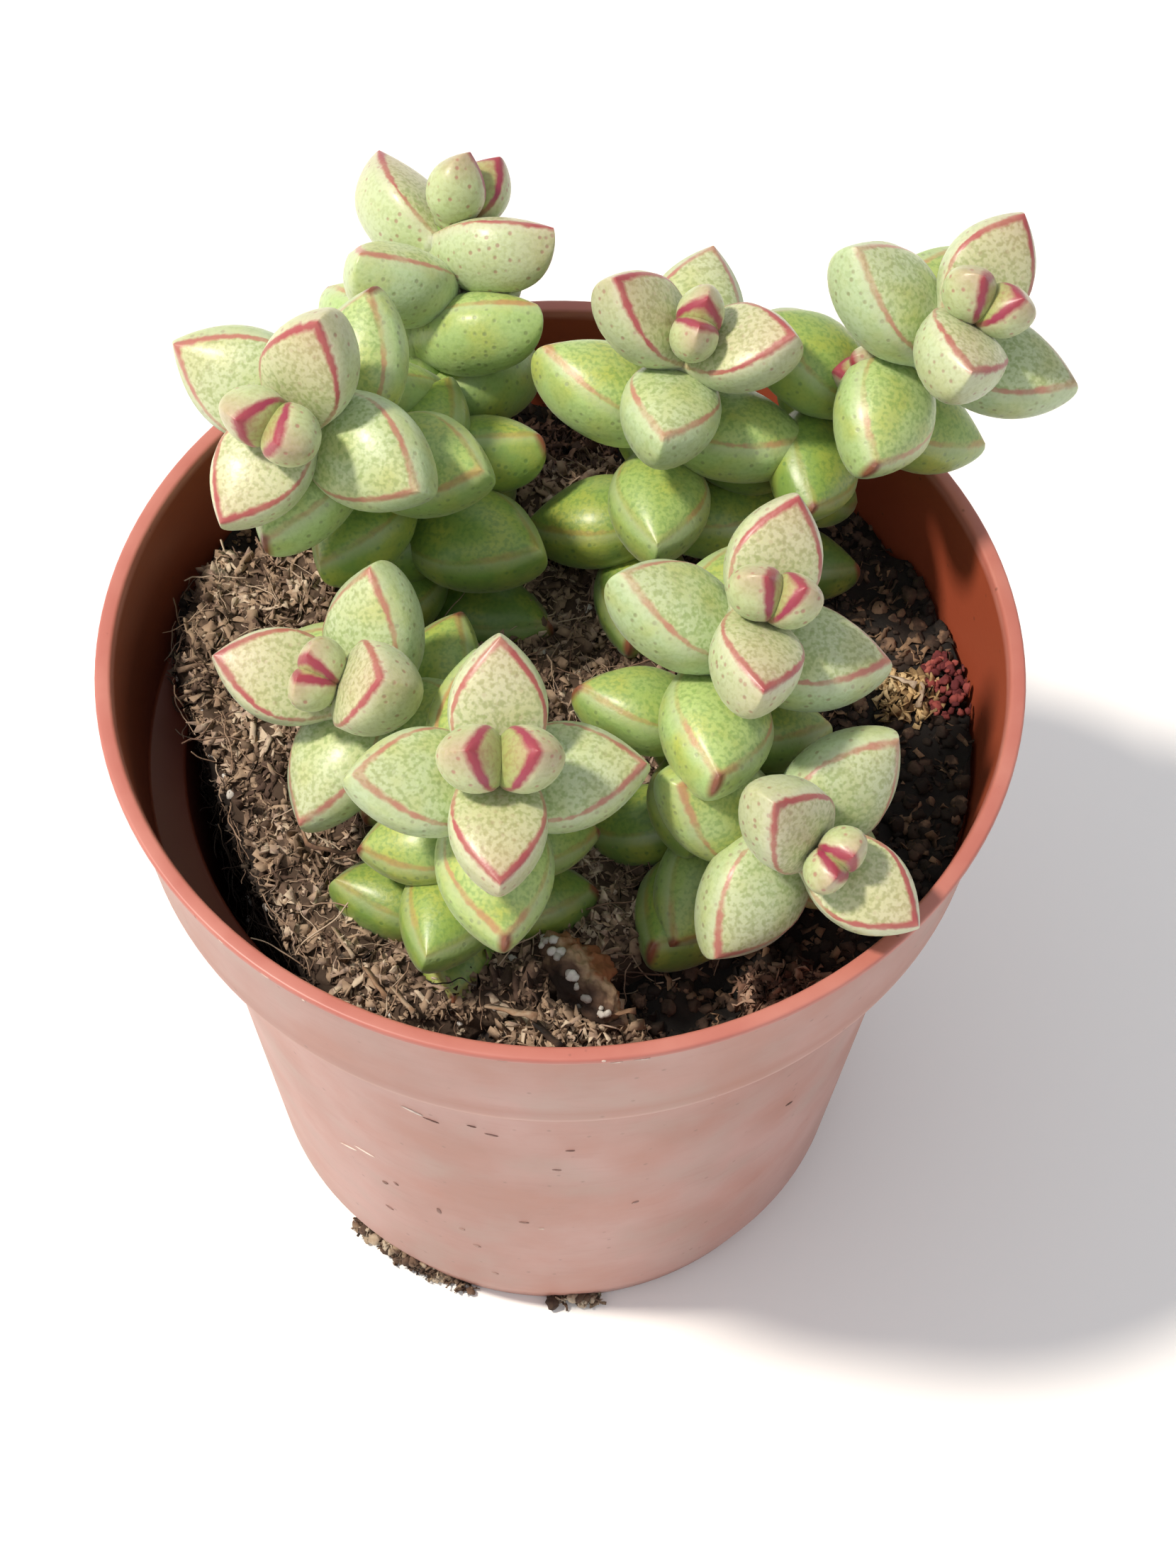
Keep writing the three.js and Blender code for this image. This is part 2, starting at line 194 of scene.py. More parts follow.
# Rings of both bodies from the floor up and then inwards: share of the full reach, and height
RING_SIDES = 72
RING_CUTS = 2
BALL_RINGS = (
    (0.86, FLOOR_TOP), (0.9, 16), (0.93, 31), (0.95, 44), (0.965, 55), (0.965, 62.6), (0.97, 64.4),
    (0.965, 67.2), (0.94, 68.6), *((share, SOIL_LEVEL) for share in (0.86, 0.72, 0.56, 0.4, 0.2)),
)
COMPOST_RINGS = (
    (0.99, FLOOR_TOP), (1, BARE_LEVEL), (1, 30), (1, 48), (1, 62.6), (1, 63.8),
    *((share, COMPOST_LEVEL) for share in (1, 0.94, 0.87, 0.78, 0.66, 0.45, 0.2)),
)

# The pot's outside from its foot up to the neck under the lip: radius and height in metres
POT_OUTSIDE = ((0.0292, 0), (0.0308, 0.005), (0.0366, 0.0615), (0.0401, 0.062))
NECK_RADIUS = 0.0418
FLOOR_RADIUS = 0.0287
FLOOR_THICKNESS = 0.0018
POT_SIDES = 144
# The drain holes in metres: how many, their circle's radius and their own
DRAIN_HOLES, DRAIN_CIRCLE, DRAIN_RADIUS = 6, 0.021, 0.0028
# The inside and the outside of the wall in millimetres, span by span: its end, its start, the radius
# there, and how much wider it gets over what height
INNER_SPANS = ((5, 0, 28.2, 1.6, 5), (LEDGE, 5, 29.8, 5.8, 57), (math.inf, LEDGE, 39.1, 1.7, 14))
OUTER_SPANS = ((62, 5, 30.8, 5.8, 56.5), (77.1, 62, 40.1, 1.7, 15.1), (math.inf, 77.1, 42.45, 0, 1))
WALL_SLOPE = math.atan2(5.8, 56.5)
# Bands painted round the pot's collar: a painted shadow under its foot, a painted highlight along its edge
# and a darker band above that. Their middle and reach in millimetres, strength and colour
COLLAR_PAINTED_BANDS = ((60.6, 1.6, 0.4, "#86594d"), (62.3, 0.5, 0.45, "#c8a197"), (64, 1.6, 0.45, "#9c6350"))
# Crossed waves that make the soil uneven: how fast each runs along x and y, and its start
HUMPS = ((0.71, 0.4, 0), (-0.35, 0.93, 1.3), (1.37, -1.21, 2.1))
TUFT_PLACE = Vector((-33, 12, 69))
BARK_PLACE = Vector((2.4, -29.8, 69.8))
BARK_TURN = math.radians(34)

# The camera that was solved from the photo, in metres, degrees and millimetres
CAMERA_PLACE = (0, -0.1697, 0.3156)
CAMERA_TURN = (33.130, -0.8746, 0.3998)
SENSOR_WIDTH = 36
# Round lights: name, place and diameter in metres, and colour. All point at one place
LIGHTS = (("key", (-0.62, -0.09, 1.12), 0.14, "#fff4e6"), ("fill", (0.7, -0.6, 0.6), 0.8, "#eef3ff"))
LIT_PLACE = Vector((0, 0, 0.08))
# How much brighter than its middle the sky is on the left, as a share
SKY_SLANT = 0.35


class Scrap(NamedTuple):
    """A single strip or stick on the soil from one end to the other, in millimetres, with its width as a
    share of the usual one and its shade from 0, dark, to 1, pale."""

    kind: str
    start: tuple
    end: tuple
    width: float
    shade: float


SCRAPS = (
    Scrap("flake", (-6.2, -33, 71.2), (-1.6, -35, 71.6), 0.8, 0.85),
    # The near-black strip after the pale one is painted shade, laid where a gap lies in shadow
    Scrap("flake", (-1.8, -34.8, 71.3), (0.4, -37, 70), 1.1, 0.02),
    Scrap("flake", (-14.5, -31, 70.5), (-12.5, -34, 70.5), 0.7, 0.7),
    Scrap("flake", (-17, -29, 70.5), (-15, -32.5, 70.5), 0.6, 0.65),
    Scrap("flake", (3.5, -34, 71.2), (7, -33.8, 71), 0.8, 0.6),
    Scrap("flake", (-20, -25, 70.5), (-18, -28.5, 70.5), 0.5, 0.8),
    Scrap("flake", (-30, 5, 70.5), (-32, 1, 70.5), 0.6, 0.9),
    Scrap("flake", (31.4, 5.6, 67.5), (33.6, 3.4, 68), 1.1, 0.95),
    Scrap("flake", (33.8, 1.6, 67.5), (34.4, 4, 67.8), 1.1, 0.9),
    Scrap("fibre", (-11.5, -32, 71.5), (-7, -32.5, 71.5), 1.6, 0),
    Scrap("fibre", (-24.2, -18.2, 71), (-14.4, -23.6, 71), 2.2, 0.5),
)


class Heap(NamedTuple):
    """A low heap of one kind of grain: its middle, reach and top in millimetres, and how many grains."""

    name: str
    middle: tuple
    reach: tuple
    top: float
    count: int
    sizes: tuple


HEAPS = (
    Heap("red_grains", (36.8, 4.8, 66.2), (2.9, 4), 1, 72, (0.5, 1.3)),
    Heap("pale_straw", (33.1, 3.4, 66.2), (2.8, 2.6), 1.4, 90, (1.4, 3.2)),
    Heap("front_peat", (1.5, -34.8, 68.3), (6.5, 2.6), 1.6, 260, (1.2, 3.4)),
    Heap("side_peat", (20.5, -29, 66.4), (4.5, 2.8), 1.6, 170, (1, 2.8)),
    Heap("back_peat", (-2, 31, 68), (7, 4), 1.4, 260, (1, 2.6)),
)


class Mark(NamedTuple):
    """A mark on the pot's wall: its angle in degrees, height, length and width in millimetres, its tilt
    in degrees, and its shade from 0, dried mud, to 1, scuffed plastic. The pale marks on the lip are
    painted glints."""

    angle: float
    height: float
    length: float
    width: float
    tilt: float
    shade: float


MARKS = (
    Mark(-112, 49.7, 2.2, 0.5, -14, 1),
    Mark(-109, 49, 1.6, 0.25, -8, 0.3),
    Mark(-102.5, 50.3, 0.9, 0.25, -5, 0.3),
    Mark(-99.5, 49, 1.3, 0.3, -10, 0.25),
    Mark(-121, 25, 0.9, 0.6, 50, 0.25),
    Mark(-118.5, 26.5, 0.7, 0.4, -40, 0.3),
    Mark(-121.5, 17.6, 1, 0.5, -20, 0.25),
    Mark(-110.5, 23.8, 1.5, 0.5, 95, 0.2),
    Mark(-106.5, 20.5, 0.7, 0.5, 10, 0.4),
    Mark(-104, 16.5, 0.9, 0.5, -30, 0.4),
    Mark(-95, 26, 1, 0.4, 0, 0.3),
    Mark(-92, 24.5, 0.6, 0.4, 0, 1),
    Mark(-87.5, 46.3, 0.9, 0.3, 0, 0.3),
    Mark(-89.5, 41.2, 0.9, 0.35, -15, 0.35),
    Mark(-101, 9, 0.8, 0.4, -20, 0.3),
    Mark(-76, 30, 0.8, 0.4, 30, 0.35),
    Mark(-60, 56, 1.2, 0.35, 5, 0.3),
    Mark(-48, 38, 1, 0.4, -20, 0.25),
    Mark(-128, 29, 2.8, 0.22, 30, 1),
    Mark(-124, 31, 2.6, 0.22, 8, 1),
    # The marks from here on sit on the lip: the pale ones are painted glints, small highlights on its front
    Mark(-84.5, 77.7, 0.45, 0.35, 0, 1),
    Mark(-83, 77.3, 1.1, 0.12, 5, 1),
    Mark(-80, 77.3, 1.4, 0.12, -4, 1),
    Mark(-126, 77.5, 1.2, 0.14, 0, 1),
    Mark(-133, 77.6, 0.8, 0.16, 0, 1),
    Mark(-120.5, 77.3, 0.4, 0.3, 0, 1),
    Mark(-96, 77.4, 0.9, 0.12, 3, 0.5),
)
MARK_THICKNESS = 0.16
# Clumps of peat at the pot's foot: first and last angle in degrees, height in millimetres, and pieces
LOWEST_CLUMP = 0.35
FOOT_CLUMPS = ((-135, -114, 3.4, 330), (-115, -106, 0.8, 30), (-91, -80, 1.6, 80))


def measure_setting(name, description, default, unit="LENGTH"):
    """A setting that measures something, such as a length in metres."""
    return FloatProperty(name=name, description=description, default=default, unit=unit)


def colour_setting(name, description, code):
    """A colour setting, from a hex colour."""
    return FloatVectorProperty(
        name=name, description=description, default=linear(code), subtype="COLOR", size=4, min=0, max=1
    )


def whole_setting(name, description, default):
    """A setting that counts pieces or starts a draw."""
    return IntProperty(name=name, description=description, default=default)


class PotSettings(bpy.types.PropertyGroup):
    """Sizes and colours of the nursery pot."""

    rim_radius: measure_setting("Rim Radius", "Outer radius of the lip", POT_HIGH.x)
    height: measure_setting("Height", "Height from the underside to the lip", POT_HIGH.z)
    lip_width: measure_setting("Lip Width", "Width of the lip's flat top", 0.0014)
    lip_height: measure_setting("Lip Height", "Height of the lip's outer face", 0.0009)
    wall: measure_setting("Wall Thickness", "Thickness of the moulded wall", 0.001)
    inner_colour: colour_setting("Inside", "Colour of the clean plastic inside", "#9a4931")
    lip_colour: colour_setting("Lip", "Colour of the lip", "#af675b")
    dusty_colour: colour_setting("Dusty Plastic", "Colour of the outside under its dust", "#a47669")


class LeafSettings(bpy.types.PropertyGroup):
    """Marks on the leaves."""

    margin_width: measure_setting("Margin Line", "Half the width of the red line on a young leaf", 0.00034)
    margin_colour: colour_setting("Tip Red", "Red of the margin line at the leaf tips", "#963a42")
    fleck_size: measure_setting("Flecks", "Size of the green flecks on the upper face", 0.00042)
    dot_spacing: measure_setting("Dot Spacing", "Size of the cells that each hold one dot", 0.00095)


class SoilSettings(bpy.types.PropertyGroup):
    """What lies on the soil."""

    flakes: whole_setting("Peat Flakes", "Curled flakes on the root ball", 4500)
    shreds: whole_setting("Peat Shreds", "Small shreds between the flakes", 3600)
    fibres: whole_setting("Fibres", "Root hairs and straw", 1200)
    crumbs: whole_setting("Crumbs", "Crumbs of the loose compost, and as many chips", 1300)
    perlite: whole_setting("Perlite", "White grains", 110)
    seed: whole_setting("Seed", "Start of all random draws", 7)


class StageSettings(bpy.types.PropertyGroup):
    """Camera, light and floor."""

    lens: measure_setting("Focal Length", "Camera lens", 0.07324)
    key_power: measure_setting("Key Light", "Power of the key light", 17, "POWER")
    fill_power: measure_setting("Fill Light", "Power of the fill", 0.7, "POWER")
    sky_strength: measure_setting("Sky", "Strength of the even light", 0.68, "NONE")


def add_node(tree, kind, inputs=None, output=0, stops=None, **settings):
    """Adds a shader node with its settings, its inputs from values, hex colours or sockets, and a ramp's
    stops. Gives back one of its outputs."""
    node = tree.nodes.new(kind)
    for name, value in settings.items():
        setattr(node, name, value)
    for name, value in (inputs or {}).items():
        if isinstance(value, bpy.types.NodeSocket):
            tree.links.new(value, node.inputs[name])
        else:
            node.inputs[name].default_value = linear(value) if isinstance(value, str) else value
    if stops:
        elements = node.color_ramp.elements
        while len(elements) < len(stops):
            elements.new(1)
        for element, (position, code) in zip(elements, stops):
            element.position = position
            element.color = linear(code)
    return node.outputs[output] if node.outputs else None


class Recipe:
    """The node tree of one look. Each step takes values, hex colours or sockets and gives back a socket."""

    def __init__(self, tree):
        tree.nodes.clear()
        self.tree = tree

    def add(self, kind, inputs=None, output=0, **settings):
        return add_node(self.tree, kind, inputs, output, **settings)

    def place(self):
        return self.add("ShaderNodeTexCoord", output="Object")

    def height(self, place):
        return self.add("ShaderNodeSeparateXYZ", {"Vector": place}, output="Z")

    def own_value(self, name):
        return self.add("ShaderNodeAttribute", output="Fac", attribute_name=name)

    def stretched(self, place, scale):
        return self.add("ShaderNodeMapping", {"Vector": place, "Scale": scale}, vector_type="POINT")

    def calculate(self, operation, first, second=0, use_clamp=False):
        inputs = {0: first, 1: second}
        return self.add("ShaderNodeMath", inputs, operation=operation, use_clamp=use_clamp)

    def times(self, first, second, use_clamp=False):
        return self.calculate("MULTIPLY", first, second, use_clamp)

    def mix(self, share, first, second):
        return self.add("ShaderNodeMixRGB", {"Fac": share, "Color1": first, "Color2": second})

    def ramp(self, value, stops):
        return self.add("ShaderNodeValToRGB", {"Fac": value}, stops=stops)

    def map_range(self, value, source=(0, 1), to=(0, 1), clamp=True):
        limits = zip(("From Min", "From Max", "To Min", "To Max"), (*source, *to))
        return self.add("ShaderNodeMapRange", {"Value": value, **dict(limits)}, clamp=clamp)

    def noise(self, place, size, detail):
        return self.add("ShaderNodeTexNoise", {"Vector": place, "Scale": 1 / size, "Detail": detail})

    def cells(self, place, size, randomness=1):
        inputs = {"Vector": place, "Scale": 1 / size, "Randomness": randomness}
        return self.add("ShaderNodeTexVoronoi", inputs)

    def bump(self, height, strength, depth):
        return self.add("ShaderNodeBump", {"Height": height, "Strength": strength, "Distance": depth})

    def finish(self, inputs):
        """Ends the tree in one surface shader."""
        surface = self.add("ShaderNodeBsdfPrincipled", inputs)
        self.add("ShaderNodeOutputMaterial", {"Surface": surface})


def new_material(name):
    """An empty material and the recipe that fills it."""
    material = bpy.data.materials.new(name)
    material.use_nodes = True
    return material, Recipe(material.node_tree)


def leaf_skin(marks):
    """A succulent leaf's skin: cuticle with a thin wax bloom over soft wet flesh. It is a pale satin green
    that glows a little where light passes through, with small dots where the flesh shows, and a margin
    line that is crimson on the bud and fades to orange on the old leaves."""
    material, recipe = new_material("waxy_leaf_skin")
    place = recipe.place()
    inward, along, pair, chance = (
        recipe.own_value(name) for name in ("inward", "along", "pair", "chance")
    )
    age = recipe.map_range(pair, (0, OLDEST_PAIR))
    youth = recipe.map_range(pair, (0, 3), (1, 0))

    # Flesh colour by age, on the upper face and the underside. The oldest leaves, low among the shoots, are
    # made darker partly as painted shade
    upper_stops = (
        (0, "#97a55c"), (0.125, "#c3c5a0"), (0.25, "#b9c89d"), (0.375, "#a9be76"), (0.6, "#89a34c"),
        (1, "#66863a"),
    )
    under_stops = (
        (0, "#b3c28f"), (0.125, "#b9c79e"), (0.25, "#b1c59b"), (0.375, "#a4bd79"), (0.6, "#7d9a48"),
        (1, "#5a7a33"),
    )
    upper = recipe.ramp(age, upper_stops)
    under = recipe.ramp(age, under_stops)
    on_top = recipe.map_range(inward, (-0.3, 0.2))
    colour = recipe.mix(on_top, under, upper)

    # Cloudy patches, 4 mm across, where the flesh is yellower
    clouds = recipe.noise(place, 4 * MM, 2)
    patch = recipe.map_range(clouds, (0.44, 0.72), (0, 0.75))
    grown = recipe.calculate("SUBTRACT", 1, youth)
    colour = recipe.mix(recipe.times(patch, grown), colour, "#acb14b")

    # Pink blush on the outer half of the young leaves
    outer = recipe.map_range(along, (0.35, 1), (0, 0.45))
    facing = recipe.map_range(on_top, to=(0.4, 1))
    blush = recipe.times(recipe.times(youth, outer), facing)
    colour = recipe.mix(blush, colour, "#c39a88")
    bud = recipe.map_range(pair, (0, 1.4), (0.45, 0))
    bud_tip = recipe.map_range(along, (0.72, 1))
    colour = recipe.mix(recipe.times(bud_tip, bud), colour, "#a5606a")

    # Green flecks close together on the upper face, and round dots further apart on the underside
    fleck_stops = ((0, "#86904f"), (0.15, "#8a9c5e"), (0.3, "#7f9d56"), (0.6, "#6c8c42"), (1, "#587c31"))
    fleck_tint = recipe.ramp(age, fleck_stops)
    ruddy = recipe.times(blush, 1.8, use_clamp=True)
    fleck_tint = recipe.mix(ruddy, fleck_tint, "#a9745f")
    dot_stops = ((0, "#a06258"), (0.15, "#94725f"), (0.28, "#82885f"), (0.6, "#628043"), (1, "#4e6f2f"))
    dot_tint = recipe.ramp(age, dot_stops)
    flecks = recipe.noise(place, marks.fleck_size, 1.5)
    fleck = recipe.map_range(flecks, (0.45, 0.65), (0, 0.5))
    dots = recipe.cells(place, marks.dot_spacing, 0.65)
    dot = recipe.map_range(dots, (0.13, 0.27), (0.7, 0))
    faint = recipe.map_range(flecks, (0.45, 0.65), (0, 0.3))
    colour = recipe.mix(faint, colour, fleck_tint)
    colour = recipe.mix(recipe.times(fleck, on_top), colour, fleck_tint)
    dot = recipe.times(dot, recipe.map_range(on_top, to=(1, 0.3)))
    colour = recipe.mix(dot, colour, dot_tint)

    # A pale rim just under the margin
    rim_stops = ((0, "#c3ae98"), (0.125, "#c8bfab"), (0.25, "#c1c4a4"), (1, "#a3b07c"))
    rim_tint = recipe.ramp(age, rim_stops)
    rim_in = recipe.map_range(inward, (-1.2, -0.3), (0, 0.4))
    rim_out = recipe.map_range(inward, (-0.2, 0.1), (1, 0))
    colour = recipe.mix(recipe.times(rim_in, rim_out), colour, rim_tint)

    # The margin line: widest at the tip of the bud, soft and pale on the old leaves
    line_stops = (
        (0, "#94304a"), (0.125, "#a6564f"), (0.25, "#b07062"), (0.375, "#b37d5c"), (0.6, "#ad8550"),
        (1, "#8a8450"),
    )
    line_tint = recipe.ramp(age, line_stops)
    redder = recipe.map_range(along, (0.6, 0.97), (0, 0.85))
    line_tint = recipe.mix(recipe.times(redder, youth), line_tint, marks.margin_colour)
    from_line = recipe.calculate("ABSOLUTE", recipe.calculate("SUBTRACT", inward, LINE_INSET))
    ragged = recipe.noise(place, 0.8 * MM, 2)
    ragged = recipe.map_range(ragged, to=(-0.28, 0.28))
    from_line = recipe.calculate("ADD", from_line, ragged)
    by_age = recipe.map_range(pair, to=(1.55 * marks.margin_width / MM, marks.margin_width / MM))
    half_width = recipe.times(by_age, recipe.map_range(along, (0.45, 1), (0.5, 1.15)))
    line = recipe.map_range(from_line, (0, half_width), (1.1, 0), clamp=False)
    line = recipe.calculate("ADD", line, 0.5, use_clamp=True)
    line_start = recipe.map_range(along, (0.05, 0.5), (0.3, 1))
    fading = recipe.map_range(age, (0.15, 0.65), (1, 0.45))
    breaks = recipe.map_range(clouds, (0.38, 0.56), (0.25, 1))
    broken = recipe.mix(grown, (1, 1, 1, 1), breaks)
    for part in (line_start, broken, fading):
        line = recipe.times(line, part)
    colour = recipe.mix(line, colour, line_tint)

    # A brown scar on the very tip of some old leaves
    tip = recipe.map_range(along, (0.955, 0.985))
    scarred = recipe.calculate("GREATER_THAN", chance, 0.5)
    old = recipe.calculate("GREATER_THAN", pair, 2.5)
    colour = recipe.mix(recipe.times(recipe.times(tip, scarred), old), colour, "#7d4c34")

    # Fine pebbling of the wax, with a shallow dimple at each dot
    pebbles = recipe.noise(place, 0.4 * MM, 2)
    normal = recipe.bump(recipe.calculate("SUBTRACT", pebbles, dot), 0.3, 0.12 * MM)
    recipe.finish({
        "Base Color": colour, "Roughness": 0.45, "Normal": normal, "Subsurface Weight": 0.25,
        "Subsurface Radius": (0.8, 1.0, 0.3), "Subsurface Scale": 1.2 * MM, "Sheen Weight": 0.12,
        "Sheen Roughness": 0.4, "Coat Weight": 0.25, "Coat Roughness": 0.28,
    })
    return material


def fresh_plastic(pot):
    """Polypropylene, injection moulded, coloured terracotta. It is a deep satin orange-brown inside,
    painted darker on the left as shade and darker still lower down, where shade and a film of soil lie,
    and paler on the lip, which hands and weather have rubbed chalky."""
    material, recipe = new_material("moulded_polypropylene")
    place = recipe.place()
    height = recipe.height(place)
    on_lip = recipe.map_range(height, (pot.height - 0.0011, pot.height - 0.0006))
    colour = recipe.mix(on_lip, pot.inner_colour, pot.lip_colour)
    cloud = recipe.noise(recipe.stretched(place, (0.25, 0.25, 3)), 2 * MM, 4)
    shade = recipe.map_range(cloud, (0.4, 0.75), (0, 0.45))
    colour = recipe.mix(recipe.times(shade, on_lip), colour, "#c98c7e")
    # Painted shade: the inside is darkened towards the left, where it lies in shadow, and lower down, where
    # shadow and a film of soil darken it
    side = recipe.add(
        "ShaderNodeVectorMath", {0: place, 1: (-0.8, -0.6, 0)}, output="Value", operation="DOT_PRODUCT"
    )
    side = recipe.map_range(side, (4 * MM, 30 * MM), (0, 0.7))
    deep = recipe.map_range(height, (71 * MM, 77.5 * MM), (1, 0.25))
    off_lip = recipe.calculate("SUBTRACT", 1, on_lip)
    painted_shade_and_soil_film = recipe.times(recipe.times(side, deep), off_lip)
    colour = recipe.mix(painted_shade_and_soil_film, colour, "#3d1c15")
    grains = recipe.cells(place, 2.4 * MM)
    dust = recipe.map_range(grains, (0.04, 0.1), (0.55, 0))
    colour = recipe.mix(dust, colour, "#5b3428")
    normal = recipe.bump(cloud, 0.25, 0.08 * MM)
    recipe.finish({"Base Color": colour, "Roughness": 0.42, "Normal": normal})
    return material


def dusty_plastic(pot):
    """The same polypropylene where splashes have dried on it: a dull pink film of dust and limescale with
    rubbed streaks, dark specks and a few paler runs."""
    material, recipe = new_material("dusty_polypropylene")
    place = recipe.place()
    cloud = recipe.noise(place, 14 * MM, 6)
    film = recipe.map_range(cloud, (0.38, 0.66))
    colour = recipe.mix(film, pot.dusty_colour, "#b28a82")
    patches = recipe.noise(place, 9 * MM, 5)
    worn = recipe.map_range(patches, (0.5, 0.7), (0, 0.45))
    colour = recipe.mix(worn, colour, "#a96c58")
    limed = recipe.map_range(patches, (0.32, 0.48), (0.5, 0))
    colour = recipe.mix(limed, colour, "#a3897f")
    rubs = recipe.noise(recipe.stretched(place, (0.4, 0.4, 1.5)), 1.6 * MM, 4)
    rub = recipe.map_range(rubs, (0.55, 0.8), (0, 0.3))
    colour = recipe.mix(rub, colour, "#9a6a5e")
    height = recipe.height(place)
    # Painted shadow under the collar's foot and a painted highlight along its edge, then a darker band
    # above
    for middle, reach, strength, code in COLLAR_PAINTED_BANDS:
        away = recipe.calculate("ABSOLUTE", recipe.calculate("SUBTRACT", height, middle * MM))
        band = recipe.map_range(away, (0, reach * MM), (strength, 0))
        colour = recipe.mix(band, colour, code)
    specks = recipe.cells(place, 2.8 * MM)
    speck = recipe.map_range(specks, (0.035, 0.1), (0.6, 0))
    colour = recipe.mix(speck, colour, "#7d5a4f")
    normal = recipe.bump(rubs, 0.15, 0.08 * MM)
    recipe.finish({"Base Color": colour, "Roughness": 0.48, "Normal": normal})
    return material


def loose_matter(name, stops, grain, roughness=0.9, painted_shade_level=None):
    """Dry matter in small pieces, such as peat, bark or perlite: matt, each piece of its own shade from
    the stops, with a grain of the given size in it. Below the given level it is painted darker, as shade."""
    material, recipe = new_material(name)
    place = recipe.place()
    chance = recipe.own_value("chance")
    mottle = recipe.noise(place, grain, 4)
    shift = recipe.map_range(mottle, to=(-0.35, 0.35))
    shade = recipe.calculate("ADD", chance, shift)
    drift = recipe.noise(place, 7 * MM, 2)
    drift = recipe.map_range(drift, (0.35, 0.65), (-0.25, 0.25))
    shade = recipe.calculate("ADD", shade, drift)
    colour = recipe.ramp(shade, stops)
    # Painted shade: below the given level the matter is darkened, as on the root ball's shaded side
    if painted_shade_level:
        height = recipe.height(place)
        painted_soil_shade = recipe.map_range(height, (painted_shade_level - 4 * MM, painted_shade_level), (0.85, 0))
        colour = recipe.mix(painted_soil_shade, colour, "#18110d")
    normal = recipe.bump(mottle, 0.6, grain / 3)
    recipe.finish({"Base Color": colour, "Roughness": roughness, "Normal": normal})
    return material


def pale_board():
    """Painted board under the pot: plain, matt and nearly white."""
    material, recipe = new_material("pale_painted_board")
    recipe.finish({"Base Color": "#faf9f7", "Roughness": 0.85})
    return material


def start_edit(vertices):
    """Enters edit mode on the active mesh with only these vertices selected."""
    bpy.ops.object.mode_set(mode="EDIT")
    bpy.ops.mesh.select_mode(type="VERT")
    select_only(vertices)


def select_only(vertices):
    """Selects these vertices of the mesh in edit mode, by number, and nothing else."""
    shape = bmesh.from_edit_mesh(bpy.context.object.data)
    for vertex in shape.verts:
        vertex.select_set(vertex.index in vertices)
    shape.select_flush_mode()
    bmesh.update_edit_mesh(bpy.context.object.data)


def put_in_order(mesh):
    """Numbers a new ball's corners and faces by their place. Blender numbers them anew in each run, and the
    random spots on its surface have to be the same each time."""
    places = [tuple(v.co) for v in mesh.vertices]
    order = sorted(range(len(places)), key=lambda i: [round(value, 5) for value in places[i]])
    numbers = {old: new for new, old in enumerate(order)}
    faces = []
    for face in mesh.polygons:
        corners = [numbers[i] for i in face.vertices]
        first = corners.index(min(corners))
        faces.append(corners[first:] + corners[:first])
    mesh.clear_geometry()
    mesh.from_pydata([places[i] for i in order], [], sorted(faces))


def apply_modifier(kind, **settings):
    """Adds a modifier to the active object and applies it."""
    bpy.ops.object.modifier_add(type=kind)
    modifier = bpy.context.object.modifiers[-1]
    for name, value in settings.items():
        setattr(modifier, name, value)
    bpy.ops.object.modifier_apply(modifier=modifier.name)


def finish_piece(piece, name, material, slot, stands_for=()):
    """Names a piece, gives it its material and hangs it on the model's body."""
    bpy.ops.object.select_all(action="DESELECT")
    piece.select_set(True)
    bpy.context.view_layer.objects.active = piece
    bpy.ops.object.transform_apply(location=True, rotation=True, scale=True)
    piece.name = piece.data.name = name
    if material:
        piece.data.materials.clear()
        piece.data.materials.append(material)
    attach(piece, "root")
    if stands_for:
        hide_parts(*stands_for)


def width_at(place, curve):
    """Half width at a place from 0 at the stem to 1 at the tip, as a share of the widest."""
    from_widest = (place - WIDEST_PLACE) / (1 - WIDEST_PLACE)
    if from_widest > 0:
        return 1 - from_widest**curve
    return 1 - (1 - JOINED_SHARE) * min(1, (1 - place / WIDEST_PLACE) ** 2)


def depth_at(place):
    """Depth below the margin, which falls off late, so that the keel ends in a blunt prow."""
    from_widest = (place - WIDEST_PLACE) / (1 - WIDEST_PLACE)
    if from_widest > 0:
        return math.sqrt(max(0, 1 - from_widest**2.6))
    return 1 - (1 - JOINED_SHARE) * min(1, (1 - place / WIDEST_PLACE) ** 2)


class LeafForm(NamedTuple):
    """A leaf of unit length: its corners, faces, distance in from the margin (negative on the underside)
    and place along it."""

    corners: np.ndarray
    faces: list
    inward: np.ndarray
    along: np.ndarray


